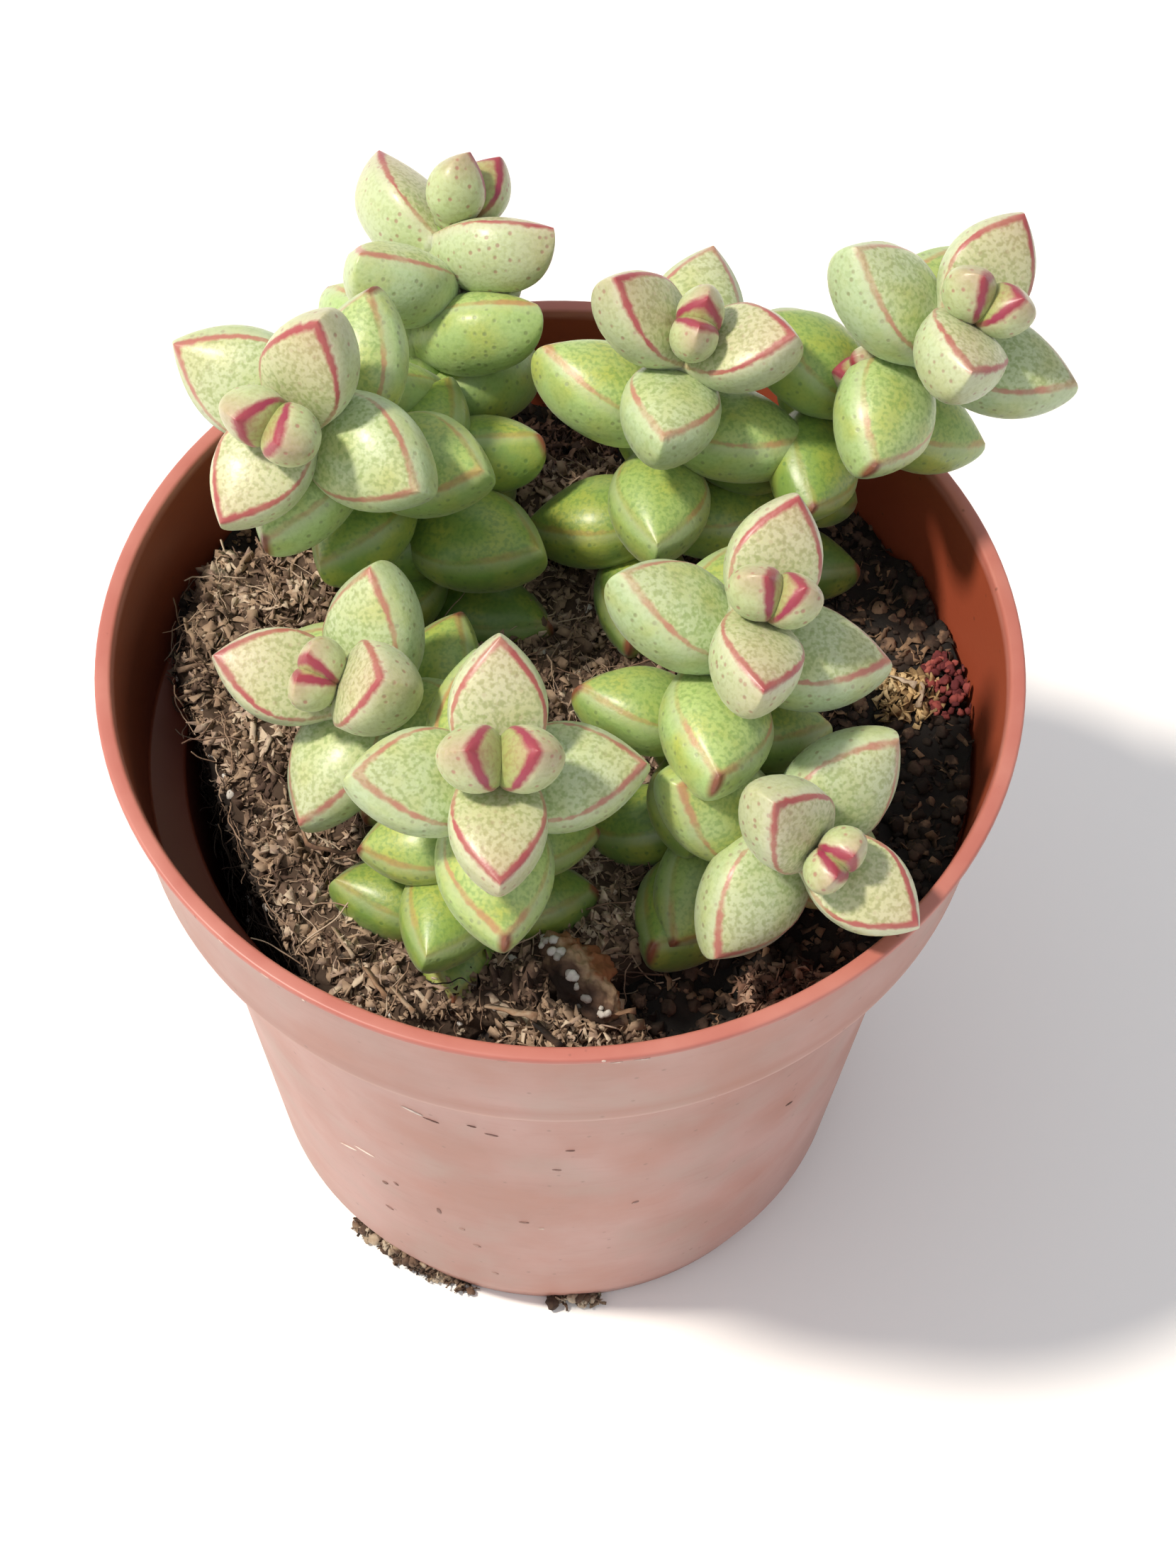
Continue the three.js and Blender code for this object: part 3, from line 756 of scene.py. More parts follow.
def model_leaf(age):
    """One boat-shaped leaf along +Y with its upper face to +Z: a ball whose rings are sized and moved
    one by one, with the upper part of each pressed down to a low crown between the two margins."""
    bpy.ops.mesh.primitive_uv_sphere_add(
        segments=LEAF_SIDES, ring_count=LEAF_RINGS, radius=1, rotation=(math.pi / 2, 0, 0)
    )
    leaf = bpy.context.object
    bpy.ops.object.transform_apply(rotation=True)
    mesh = leaf.data
    put_in_order(mesh)
    margin_angle = MARGIN_STEPS * 2 * math.pi / LEAF_SIDES
    rings = {}
    poles = {}
    for vertex in mesh.vertices:
        level = round(math.acos(max(-1, min(1, vertex.co.y))) / math.pi * LEAF_RINGS)
        group = poles if level in (0, LEAF_RINGS) else rings
        group.setdefault(level, []).append(vertex.index)
    angles = {v.index: math.atan2(v.co.z, v.co.x) for v in mesh.vertices}
    half_width = LEAF_WIDTHS[age] / 2
    full_depth = LEAF_DEPTHS[age]
    heights = {level: math.cos(level * math.pi / LEAF_RINGS) for level in (*rings, *poles)}
    lowest = margin_angle - ANGLE_SLACK
    places = {}
    start_edit(())
    for level, ring in rings.items():
        share = 1 - level / LEAF_RINGS
        place = LEAF_ROOT + (1 - LEAF_ROOT) * math.sin(share * math.pi / 2) ** 1.15
        radius = math.sqrt(1 - heights[level] ** 2)
        body = half_width * width_at(place, BODY_CURVE)
        depth = full_depth * depth_at(place)
        reach = depth / (1 + math.sin(margin_angle))
        margin_width = MARGIN_SHARES[age] * half_width * width_at(place, MARGIN_CURVE)
        narrowing = margin_width / (body * math.cos(margin_angle))
        lift = reach * math.sin(margin_angle)
        flattening = LEAF_CROWNS[age] * width_at(place, MARGIN_CURVE) / (reach - lift)
        centre = (0, heights[level], 0)
        select_only(ring)
        bpy.ops.transform.resize(value=(body / radius, 1, reach / radius), center_override=centre)
        top = {i for i in ring if lowest < angles[i] < math.pi - lowest}
        select_only(top)
        bpy.ops.transform.resize(
            value=(narrowing, 1, flattening), center_override=(0, heights[level], lift)
        )
        select_only(ring)
        margin_height = LEAF_ARCH * math.sin(math.pi * max(0, place))
        bpy.ops.transform.translate(value=(0, place - heights[level], margin_height - lift))
        places.update({i: place for i in ring})
    for level, (pole,) in poles.items():
        place = 1 if level == 0 else LEAF_ROOT - 0.02
        select_only((pole,))
        bpy.ops.transform.translate(value=(0, place - heights[level], 0))
        places[pole] = place
    bpy.ops.object.mode_set(mode="OBJECT")
    push_out_prow(mesh, places, PROW_REACHES[age])

    margins = []
    (tip,) = poles[0]
    for edge_angle in (margin_angle, math.pi - margin_angle):
        line = [i for i in places if abs(angles[i] - edge_angle) < ANGLE_SLACK and i != tip]
        line = sorted(line, key=places.get) + [tip]
        margins.append([mesh.vertices[i].co.copy() for i in line])
    inward = np.array([from_margins(v.co, margins) for v in mesh.vertices])
    for i, angle in angles.items():
        if not lowest < angle < math.pi - lowest:
            inward[i] *= -1
    for level, (pole,) in poles.items():
        inward[pole] = 0 if level == 0 else -full_depth / 3
    form = LeafForm(
        np.array([v.co for v in mesh.vertices]),
        [tuple(face.vertices) for face in mesh.polygons],
        inward,
        np.array([places[v.index] for v in mesh.vertices]),
    )
    bpy.data.objects.remove(leaf)
    return form


def push_out_prow(mesh, places, reach):
    """Moves the flesh below the margin towards the tip, so that it bulges out past the point of the upper
    face, and draws the whole leaf back to its length."""
    for vertex in mesh.vertices:
        place = places[vertex.index]
        below = LEAF_ARCH * math.sin(math.pi * max(0, place)) - vertex.co.z
        nearness = max(0, (place - WIDEST_PLACE) / (1 - WIDEST_PLACE)) ** 1.5
        if below > 0:
            vertex.co.y += reach * nearness * (1 - math.exp(-below / PROW_ROUNDING))
        vertex.co.y *= 1 - reach if vertex.co.y > 0 else 1


def from_margins(point, margins):
    """Distance from a point to the nearer of the margin lines."""
    best = math.inf
    for line in margins:
        for start, end in zip(line, line[1:]):
            near, share = intersect_point_line(point, start, end)
            if share < 0:
                near = start
            elif share > 1:
                near = end
            best = min(best, (point - near).length)
    return best


class StemLine:
    """The curve of a shoot above the soil, measured along its length."""

    def __init__(self, shoot):
        foot = Vector((*shoot.foot, SOIL_LEVEL)[:3])
        tip = Vector(shoot.tip)
        reach = BEND_REACH * (tip - foot).length
        leave = foot + Vector((*shoot.foot_lean, 1)).normalized() * reach
        arrive = tip - Vector((*shoot.tip_lean, 1)).normalized() * reach
        self.points = interpolate_bezier(foot, leave, arrive, tip, CURVE_STEPS + 1)
        self.runs = [0]
        for start, end in zip(self.points, self.points[1:]):
            self.runs.append(self.runs[-1] + (end - start).length)
        self.length = self.runs[-1]

    def at(self, run):
        """The point and the direction of the stem at this length from the foot."""
        run = min(max(run, 0), self.length)
        step = min(max(np.searchsorted(self.runs, run), 1), CURVE_STEPS)
        start, end = self.points[step - 1], self.points[step]
        share = (run - self.runs[step - 1]) / (self.runs[step] - self.runs[step - 1])
        return start.lerp(end, share), (end - start).normalized()


class Gathered:
    """Corners, faces and values by corner of many copies, to be made into one mesh."""

    def __init__(self, *values):
        self.corners = []
        self.faces = []
        self.values = {name: [] for name in values}
        self.count = 0

    def add(self, corners, faces, **values):
        self.corners.append(corners)
        self.faces.extend(tuple(i + self.count for i in face) for face in faces)
        self.count += len(corners)
        for name, parts in self.values.items():
            parts.append(np.broadcast_to(np.asarray(values.get(name, 0), float), len(corners)))

    def to_object(self, name):
        mesh = bpy.data.meshes.new(name)
        mesh.from_pydata(np.concatenate(self.corners), [], self.faces)
        for value, parts in self.values.items():
            attribute = mesh.attributes.new(value, "FLOAT", "POINT")
            attribute.data.foreach_set("value", np.concatenate(parts).astype(np.float32))
        mesh.shade_smooth()
        mesh.update()
        made = bpy.data.objects.new(name, mesh)
        bpy.context.scene.collection.objects.link(made)
        return made


def placed(corners, matrix):
    """Corners moved by a matrix."""
    return corners @ np.array(matrix.to_3x3()).T + np.array(matrix.translation)


def leaf_matrix(place, stem, outward, opening, size):
    """The matrix that sets a unit leaf on a stem, opened from it by an angle in degrees."""
    spread = math.radians(opening)
    along = stem * math.cos(spread) + outward * math.sin(spread)
    up = stem * math.sin(spread) - outward * math.cos(spread)
    matrix = Matrix((along.cross(up), along, up)).transposed().to_4x4()
    matrix.translation = place
    return matrix @ Matrix.Diagonal((*size, 1))


def add_leaves(gathered, shoot, forms, draw):
    """Places the crosswise leaf pairs of one shoot from its tip down."""
    line = StemLine(shoot)
    run = line.length
    sideways = Vector((1, 0, 0))
    for pair, length in enumerate(shoot.lengths):
        run -= PAIR_STEPS[pair]
        place, stem = line.at(run)
        sideways = (sideways - stem * sideways.dot(stem)).normalized()
        turn = math.radians(shoot.turn + 90 * pair + shoot.twist[pair])
        form = forms[min(pair, len(forms) - 1)]
        for side, opening in enumerate(shoot.opening[pair]):
            if opening is None:
                continue
            outward = Quaternion(stem, turn + side * math.pi) @ sideways
            size = (length * draw.uniform(0.97, 1.03), length, length * draw.uniform(0.94, 1.05))
            opening = opening if pair else BUD_CLOSING * opening
            matrix = leaf_matrix(place, stem, outward, opening, size)
            gathered.add(
                placed(form.corners, matrix) * MM, form.faces,
                inward=form.inward * length, along=form.along,
                pair=pair + draw.uniform(-0.25, 0.25) * min(pair, 1), chance=draw.random(),
            )


def add_stem(gathered, shoot):
    """A round stem from the root in the soil to just under the youngest pair."""
    line = StemLine(shoot)
    bpy.ops.curve.primitive_nurbs_path_add()
    stem = bpy.context.object
    top = line.length - 2 * PAIR_STEPS[0]
    places = [line.at(top * i / (STEM_POINTS - 1))[0] for i in range(STEM_POINTS)]
    places.insert(0, places[0] - Vector((0, 0, ROOT_DEPTH)))
    spline = stem.data.splines[0]
    spline.points.add(len(places) - len(spline.points))
    for point, place in zip(spline.points, places):
        point.co = (*(place * MM), 1)
    spline.use_endpoint_u = True
    stem.data.bevel_depth = STEM_RADIUS * MM
    stem.data.use_fill_caps = True
    bpy.ops.object.convert(target="MESH")
    corners = np.array([v.co for v in stem.data.vertices])
    gathered.add(corners, [tuple(f.vertices) for f in stem.data.polygons], inward=-5, along=0, pair=6)
    bpy.data.objects.remove(stem)


def relief(x, y):
    """Low humps of the soil at a place in millimetres, from -1 to 1."""
    return sum(math.sin(by_x * x + by_y * y + start) for by_x, by_y, start in HUMPS) / len(HUMPS)


def wall_radius(spans, z):
    """Radius of the pot's inside or outside at a height, in millimetres."""
    for end, start, radius, widening, rise in spans:
        if z < end:
            return radius + widening * (z - start) / rise


def ball_reach(angle):
    """From the root ball's middle to its side, which is a square with round corners."""
    along = abs(math.cos(angle) / (BALL_LENGTH / 2)) ** BALL_SQUARENESS
    across = abs(math.sin(angle) / (BALL_WIDTH / 2)) ** BALL_SQUARENESS
    return (along + across) ** (-1 / BALL_SQUARENESS)


def stack_of_rings(rings, cuts, place_of):
    """A closed body from a ball whose rings are moved, from the foot up, and then cut finer. place_of gives
    a corner's place from its share of the full reach, its height and its angle."""
    steps = len(rings) + 1
    bpy.ops.mesh.primitive_uv_sphere_add(segments=RING_SIDES, ring_count=steps, radius=1)
    body = bpy.context.object
    put_in_order(body.data)
    for vertex in body.data.vertices:
        polar = math.acos(max(-1, min(1, vertex.co.z))) / math.pi * steps
        step = round(steps - polar)
        if step in (0, steps):
            vertex.co = place_of(0, rings[0 if step == 0 else -1][1], 0)
        else:
            vertex.co = place_of(*rings[step - 1], math.atan2(vertex.co.y, vertex.co.x))
    bpy.ops.object.mode_set(mode="EDIT")
    bpy.ops.mesh.select_all(action="SELECT")
    bpy.ops.mesh.subdivide(number_cuts=cuts)
    bpy.ops.object.mode_set(mode="OBJECT")
    return body


def roughen(name, size, depth):
    """Pushes the active mesh in and out by a cloud pattern of this size and depth."""
    pattern = bpy.data.textures.new(name, type="CLOUDS")
    pattern.noise_scale = size
    apply_modifier("DISPLACE", texture=pattern, texture_coords="LOCAL", strength=depth, mid_level=0.5)


def keep_inside_pot(body):
    """Presses what stands out through the pot's wall back in."""
    for vertex in body.data.vertices:
        most = (wall_radius(INNER_SPANS, vertex.co.z / MM) - WALL_GAP) * MM
        away = math.hypot(vertex.co.x, vertex.co.y)
        if away > most:
            vertex.co.x *= most / away
            vertex.co.y *= most / away
        vertex.co.z = max(vertex.co.z, FLOOR_TOP * MM)


def surface_spots(body, count, draw, keep):
    """Random spots on a mesh as points and normals, spread evenly over the area where keep holds."""
    body.data.calc_loop_triangles()
    triangles = body.data.loop_triangles
    corners = body.data.vertices
    spots = []
    picks = draw.choices(triangles, weights=[t.area for t in triangles], k=14 * count)
    for triangle in picks:
        a, b, c = (corners[i].co for i in triangle.vertices)
        u, v = draw.random(), draw.random()
        if u + v > 1:
            u, v = 1 - u, 1 - v
        point = a + (b - a) * u + (c - a) * v
        if keep(point / MM, triangle.normal):
            spots.append((point, triangle.normal.copy()))
        if len(spots) == count:
            break
    return spots


def copy_out(piece):
    """A modelled master as corners and faces. Its object is removed."""
    form = (np.array([v.co for v in piece.data.vertices]), [tuple(f.vertices) for f in piece.data.polygons])
    bpy.data.objects.remove(piece)
    return form


def model_flake(seed):
    """A curled shred of peat, 1 long: a strip with ragged edges, bent and given a thickness."""
    bpy.ops.mesh.primitive_grid_add(x_subdivisions=5, y_subdivisions=1, size=1)
    flake = bpy.context.object
    start_edit(range(len(flake.data.vertices)))
    bpy.ops.transform.resize(value=(1, 0.12 + 0.055 * seed, 1), center_override=(0, 0, 0))
    bpy.ops.transform.vertex_random(offset=0.045, uniform=0.6, seed=seed)
    bpy.ops.object.mode_set(mode="OBJECT")
    for method, angle, axis in (("BEND", 30 + 28 * seed, "Y"), ("TWIST", 25 * seed - 50, "X")):
        apply_modifier(
            "SIMPLE_DEFORM", deform_method=method, angle=math.radians(angle), deform_axis=axis
        )
    apply_modifier("SOLIDIFY", thickness=0.04)
    return copy_out(flake)


def model_fibre(seed):
    """A wandering thread, 1 long."""
    draw = random.Random(seed)
    bpy.ops.curve.primitive_nurbs_path_add()
    thread = bpy.context.object
    spline = thread.data.splines[0]
    spline.points.add(9 - len(spline.points))
    y = z = 0
    for i, point in enumerate(spline.points):
        y += draw.uniform(-0.1, 0.1)
        z += draw.uniform(-0.05, 0.06)
        point.co = (i / 8 - 0.5, y, z, 1)
        point.radius = 0.5 + draw.random() / 2
    spline.use_endpoint_u = True
    spline.resolution_u = 2
    thread.data.bevel_depth = 0.015
    thread.data.bevel_resolution = 0
    bpy.ops.object.convert(target="MESH")
    return copy_out(thread)


def model_crumb(seed, roughness):
    """A rough grain, 1 across."""
    bpy.ops.mesh.primitive_ico_sphere_add(subdivisions=2, radius=0.5)
    start_edit(range(len(bpy.context.object.data.vertices)))
    bpy.ops.transform.resize(value=(1, 0.82, 0.7), center_override=(0, 0, 0))
    bpy.ops.transform.vertex_random(offset=roughness, uniform=0.4, normal=0.4, seed=seed)
    bpy.ops.object.mode_set(mode="OBJECT")
    return copy_out(bpy.context.object)


def strew(name, masters, spots, sizes, draw, lie):
    """Copies of the masters on the spots as one mesh, each turned at random, tilted by up to lie radians
    and of a size in the range."""
    gathered = Gathered("chance")
    for point, normal in spots:
        corners, faces = draw.choice(masters)
        size = draw.uniform(*sizes) * MM
        turn = normal.to_track_quat("Z", "Y") @ Quaternion((0, 0, 1), draw.uniform(0, 2 * math.pi))
        for axis in ((1, 0, 0), (0, 1, 0)):
            turn = turn @ Quaternion(axis, draw.uniform(-lie, lie))
        matrix = Matrix.LocRotScale(point + normal * (0.05 * size), turn, Vector((size,) * 3))
        gathered.add(placed(corners, matrix), faces, chance=draw.random())
    return gathered.to_object(name)


class CRASSULA_OT_pot(bpy.types.Operator):
    """Turn the nursery pot from ring to ring, drill its drain holes and finish its plastic"""

    bl_idname = "crassula.pot"
    bl_label = "Nursery Pot"

    def execute(self, context):
        pot = context.scene.crassula_pot
        rim, top, wall = pot.rim_radius, pot.height, pot.wall
        lip_foot = top - pot.lip_height
        heel, waist, collar = POT_OUTSIDE[1:]
        inside = (
            (NECK_RADIUS, lip_foot), (collar[0], LEDGE * MM), (waist[0], LEDGE * MM - 0.0005), heel,
            (FLOOR_RADIUS, FLOOR_THICKNESS),
        )
        stations = [
            *POT_OUTSIDE, (NECK_RADIUS, lip_foot), (rim, lip_foot + 0.0001), (rim, top),
            (rim - pot.lip_width, top), *((radius - wall, z) for radius, z in inside),
        ]
        bpy.ops.mesh.primitive_circle_add(vertices=POT_SIDES, radius=stations[0][0], fill_type="NGON")
        body = context.object
        bpy.ops.object.mode_set(mode="EDIT")
        bpy.ops.mesh.select_mode(type="EDGE")
        bpy.ops.mesh.select_all(action="SELECT")
        for (radius, z), (next_radius, next_z) in zip(stations, stations[1:]):
            bpy.ops.mesh.extrude_edges_move(TRANSFORM_OT_translate={"value": (0, 0, next_z - z)})
            share = next_radius / radius
            bpy.ops.transform.resize(value=(share, share, 1), center_override=(0, 0, next_z))
        bpy.ops.mesh.edge_face_add()
        bpy.ops.mesh.select_all(action="SELECT")
        bpy.ops.mesh.normals_make_consistent(inside=False)
        bpy.ops.object.mode_set(mode="OBJECT")
        apply_modifier(
            "BEVEL", limit_method="ANGLE", angle_limit=math.radians(28), width=0.28 * MM, segments=3
        )
        self.drill(context, body)
        body.data.materials.append(dusty_plastic(pot))
        body.data.materials.append(fresh_plastic(pot))
        for face in body.data.polygons:
            out = Vector((face.center.x, face.center.y, 0)).normalized()
            outside = face.normal.dot(out) > 0.1 or face.center.z < 0.0001
            under_lip = face.center.z < lip_foot + 0.00005
            face.material_index = 0 if outside and under_lip else 1
        bpy.ops.object.shade_smooth_by_angle(angle=math.radians(30))
        finish_piece(body, "nursery_pot", None, "pot", ("pot",))
        return {"FINISHED"}

    def drill(self, context, body):
        """Cuts the round drain holes through the floor."""
        for i in range(DRAIN_HOLES):
            angle = (i + 0.5) * 2 * math.pi / DRAIN_HOLES
            middle = (DRAIN_CIRCLE * math.cos(angle), DRAIN_CIRCLE * math.sin(angle), 0.001)
            bpy.ops.mesh.primitive_cylinder_add(
                vertices=32, radius=DRAIN_RADIUS, depth=0.008, location=middle
            )
            if i:
                drill.select_set(True)
                context.view_layer.objects.active = drill
                bpy.ops.object.join()
            drill = context.object
        bpy.ops.object.select_all(action="DESELECT")
        context.view_layer.objects.active = body
        body.select_set(True)
        apply_modifier("BOOLEAN", operation="DIFFERENCE", solver="EXACT", object=drill)
        bpy.data.objects.remove(drill)


class CRASSULA_OT_root_ball(bpy.types.Operator):
    """Shape the square root ball and roughen it"""

    bl_idname = "crassula.root_ball"
    bl_label = "Root Ball"

    def execute(self, context):
        def place_of(share, z, angle):
            flat = Vector((math.cos(angle), math.sin(angle))) * ball_reach(angle) * share
            flat.rotate(Matrix.Rotation(BALL_TURN, 2))
            flat += BALL_MIDDLE
            rise = SOIL_ROUGHNESS * relief(*flat) if z > SOIL_LEVEL - 1 else 0
            return Vector((*flat, z + rise)) * MM

        ball = stack_of_rings(BALL_RINGS, RING_CUTS, place_of)
        roughen("matted_roots", 0.0026, 0.0026)
        roughen("peat_grain", 0.0008, 0.0009)
        keep_inside_pot(ball)
        ball.data.shade_smooth()
        peat = loose_matter(
            "matted_peat",
            ((0.1, "#453528"), (0.4, "#786250"), (0.6, "#937c66"), (0.85, "#a6917a")), 0.9 * MM,
            painted_shade_level=PAINTED_SHADE_LEVEL * MM,
        )
        finish_piece(ball, "peat_root_ball", peat, "peat", ("root_ball",))
        return {"FINISHED"}


class CRASSULA_OT_compost(bpy.types.Operator):
    """Fill the pot with loose compost beside the root ball"""

    bl_idname = "crassula.compost"
    bl_label = "Loose Compost"

    def execute(self, context):
        def place_of(share, z, angle):
            radius = share * (wall_radius(INNER_SPANS, z) - WALL_GAP)
            x, y = radius * math.cos(angle), radius * math.sin(angle)
            rise = COMPOST_ROUGHNESS * relief(y, x) if z >= COMPOST_LEVEL else 0
            return Vector((x, y, z + rise)) * MM

        filled = stack_of_rings(COMPOST_RINGS, RING_CUTS, place_of)
        self.clear_bare_side()
        low = stack_of_rings(COMPOST_RINGS[:2], 0, place_of)
        bpy.ops.object.select_all(action="DESELECT")
        low.select_set(True)
        filled.select_set(True)
        context.view_layer.objects.active = filled
        bpy.ops.object.join()
        roughen("compost_lumps", 0.003, 0.0022)
        keep_inside_pot(filled)
        filled.data.shade_smooth()
        dark = loose_matter(
            "dark_compost",
            ((0.1, "#140f0c"), (0.45, "#2a1f19"), (0.65, "#423127"), (0.9, "#624a37")), 1.1 * MM,
        )
        finish_piece(filled, "loose_compost_fill", dark, "compost", ("loose_compost",))
        return {"FINISHED"}

    def clear_bare_side(self):
        """Cuts what would stand in front of the root ball's bare face off the active body."""
        face_way = Matrix.Rotation(BALL_TURN, 2) @ Vector((0, -1))
        middle = BALL_MIDDLE + face_way * (BALL_WIDTH / 2 - BARE_DEPTH)
        bpy.ops.object.mode_set(mode="EDIT")
        bpy.ops.mesh.select_all(action="SELECT")
        bpy.ops.mesh.bisect(
            plane_co=(middle.x * MM, middle.y * MM, 0), plane_no=(face_way.x, face_way.y, 0),
            clear_outer=True, use_fill=True,
        )
        bpy.ops.object.mode_set(mode="OBJECT")


class CRASSULA_OT_shoots(bpy.types.Operator):
    """Grow the shoots: crosswise pairs of plump leaves down each stem"""

    bl_idname = "crassula.shoots"
    bl_label = "Leafy Shoots"

    def execute(self, context):
        skin = leaf_skin(context.scene.crassula_leaves)
        forms = [model_leaf(age) for age in range(len(LEAF_WIDTHS))]
        draw = random.Random(context.scene.crassula_soil.seed)
        for node in dict.fromkeys(shoot.node for shoot in SHOOTS):
            gathered = Gathered("inward", "along", "pair", "chance")
            for shoot in SHOOTS:
                if shoot.node != node:
                    continue
                add_leaves(gathered, shoot, forms, draw)
                if len(shoot.foot) == 2:
                    add_stem(gathered, shoot)
            plant = gathered.to_object(node + "_leaves")
            finish_piece(plant, node + "_leaves", skin, "leaf", (node,))
        return {"FINISHED"}


class CRASSULA_OT_litter(bpy.types.Operator):
    """Strew peat flakes, root hairs, crumbs and perlite over the soil"""

    bl_idname = "crassula.litter"
    bl_label = "Litter on the Soil"

    def execute(self, context):
        soil = context.scene.crassula_soil
        draw = random.Random(soil.seed)
        ball = bpy.data.objects["peat_root_ball"]
        fill = bpy.data.objects["loose_compost_fill"]
        flakes = [model_flake(seed) for seed in range(5)]
        fibres = [model_fibre(seed) for seed in range(6)]
        crumbs = [model_crumb(seed, 0.12) for seed in range(5)]
        grains = [model_crumb(seed, 0.05) for seed in range(3)]

        def on_top(point, normal):
            return point.z > 67.8

        def on_ball(point, normal):
            return point.z > 64 or (point.z > 40 and point.x + point.y < -20)

        def on_fill(point, normal):
            return normal.z > 0.1 and point.z > 60 and not self.inside_ball(point)

        def by_the_corner(point, normal):
            return point.z > 66 and (point - TUFT_PLACE).length < 6

        peat_stops = (
            (0, "#4e3b30"), (0.25, "#745f4e"), (0.5, "#967f69"), (0.75, "#a99179"), (0.9, "#957f71"),
            (1, "#c4b29b"),
        )
        curled = loose_matter("curled_peat", peat_stops, 1.0 * MM, painted_shade_level=PAINTED_SHADE_LEVEL * MM)
        hair_stops = ((0, "#5c4538"), (0.5, "#937863"), (1, "#bca892"))
        hair = loose_matter("dry_root_hair", hair_stops, 0.8 * MM, painted_shade_level=(PAINTED_SHADE_LEVEL - 2) * MM)
        crumb = loose_matter(
            "compost_crumb", ((0, "#140f0c"), (0.55, "#30241c"), (0.9, "#554135"), (1, "#7c624e")), 0.7 * MM
        )
        chip = loose_matter("compost_chip", ((0, "#1d1612"), (0.6, "#4a382b"), (1, "#8c7057")), 0.8 * MM)
        perlite = loose_matter("expanded_perlite", ((0, "#bdb8b0"), (1, "#e4e1da")), 0.3 * MM)
        red_stops = ((0, "#5c2226"), (0.6, "#91443f"), (1, "#b0685c"))
        red = loose_matter("coated_fertiliser", red_stops, 0.6 * MM)
        straw = loose_matter("broken_straw", ((0, "#7d6445"), (0.5, "#b8996b"), (1, "#d9c195")), 0.7 * MM)
        reddish = loose_matter(
            "reddish_peat", ((0, "#3d2a22"), (0.35, "#6d4f40"), (0.7, "#8d6c59"), (1, "#a88b77")), 0.9 * MM
        )
        pieces = (
            ("peat_flakes", flakes, ball, soil.flakes, on_top, (0.9, 3.4), 0.22, "peat", curled),
            ("peat_shreds", flakes, ball, soil.shreds, on_ball, (0.6, 1.8), 0.6, "peat", curled),
            ("root_hairs", fibres, ball, soil.fibres, on_ball, (2, 7), 0.15, "peat", hair),
            ("corner_tuft", fibres, ball, 60, by_the_corner, (3, 7), 1.3, "peat", hair),
            ("compost_crumbs", crumbs, fill, soil.crumbs, on_fill, (0.4, 1.9), 0.5, "compost", crumb),
            ("compost_chips", flakes, fill, soil.crumbs, on_fill, (0.8, 2.6), 0.7, "compost", chip),
            ("perlite_grains", grains, ball, soil.perlite, on_ball, (0.5, 1.1), 0.5, "peat", perlite),
        )
        for name, masters, ground, count, keep, sizes, lie, slot, material in pieces:
            spots = surface_spots(ground, count, draw, keep)
            strewn = strew(name, masters, spots, sizes, draw, lie)
            keep_inside_pot(strewn)
            finish_piece(strewn, name, material, slot)

        kinds = {
            "red_grains": (crumbs, "compost", red), "pale_straw": (flakes, "compost", straw),
            "front_peat": (flakes, "peat", curled), "side_peat": (flakes, "compost", reddish),
            "back_peat": (flakes, "peat", reddish),
        }
        for heap in HEAPS:
            masters, slot, material = kinds[heap.name]
            heaped = strew(heap.name, masters, self.heap_spots(heap, draw), heap.sizes, draw, 0.7)
            keep_inside_pot(heaped)
            finish_piece(heaped, heap.name, material, slot)
        return {"FINISHED"}

    def heap_spots(self, heap, draw):
        """Spots in a low mound, each with a normal that points more or less up."""
        spots = []
        for _ in range(heap.count):
            angle, share = draw.uniform(0, 2 * math.pi), math.sqrt(draw.random())
            rise = heap.top * (1 - share**2) * draw.random()
            point = Vector(heap.middle) + Vector(
                (heap.reach[0] * share * math.cos(angle), heap.reach[1] * share * math.sin(angle), rise)
            )
            normal = Vector((draw.uniform(-0.5, 0.5), draw.uniform(-0.5, 0.5), 1)).normalized()
            spots.append((point * MM, normal))
        return spots

    def inside_ball(self, point):
        """Whether a place in millimetres is within the root ball's outline."""
        flat = Vector((point.x, point.y)) - BALL_MIDDLE
        flat.rotate(Matrix.Rotation(-BALL_TURN, 2))
        return flat.length < ball_reach(math.atan2(flat.y, flat.x)) - 0.5


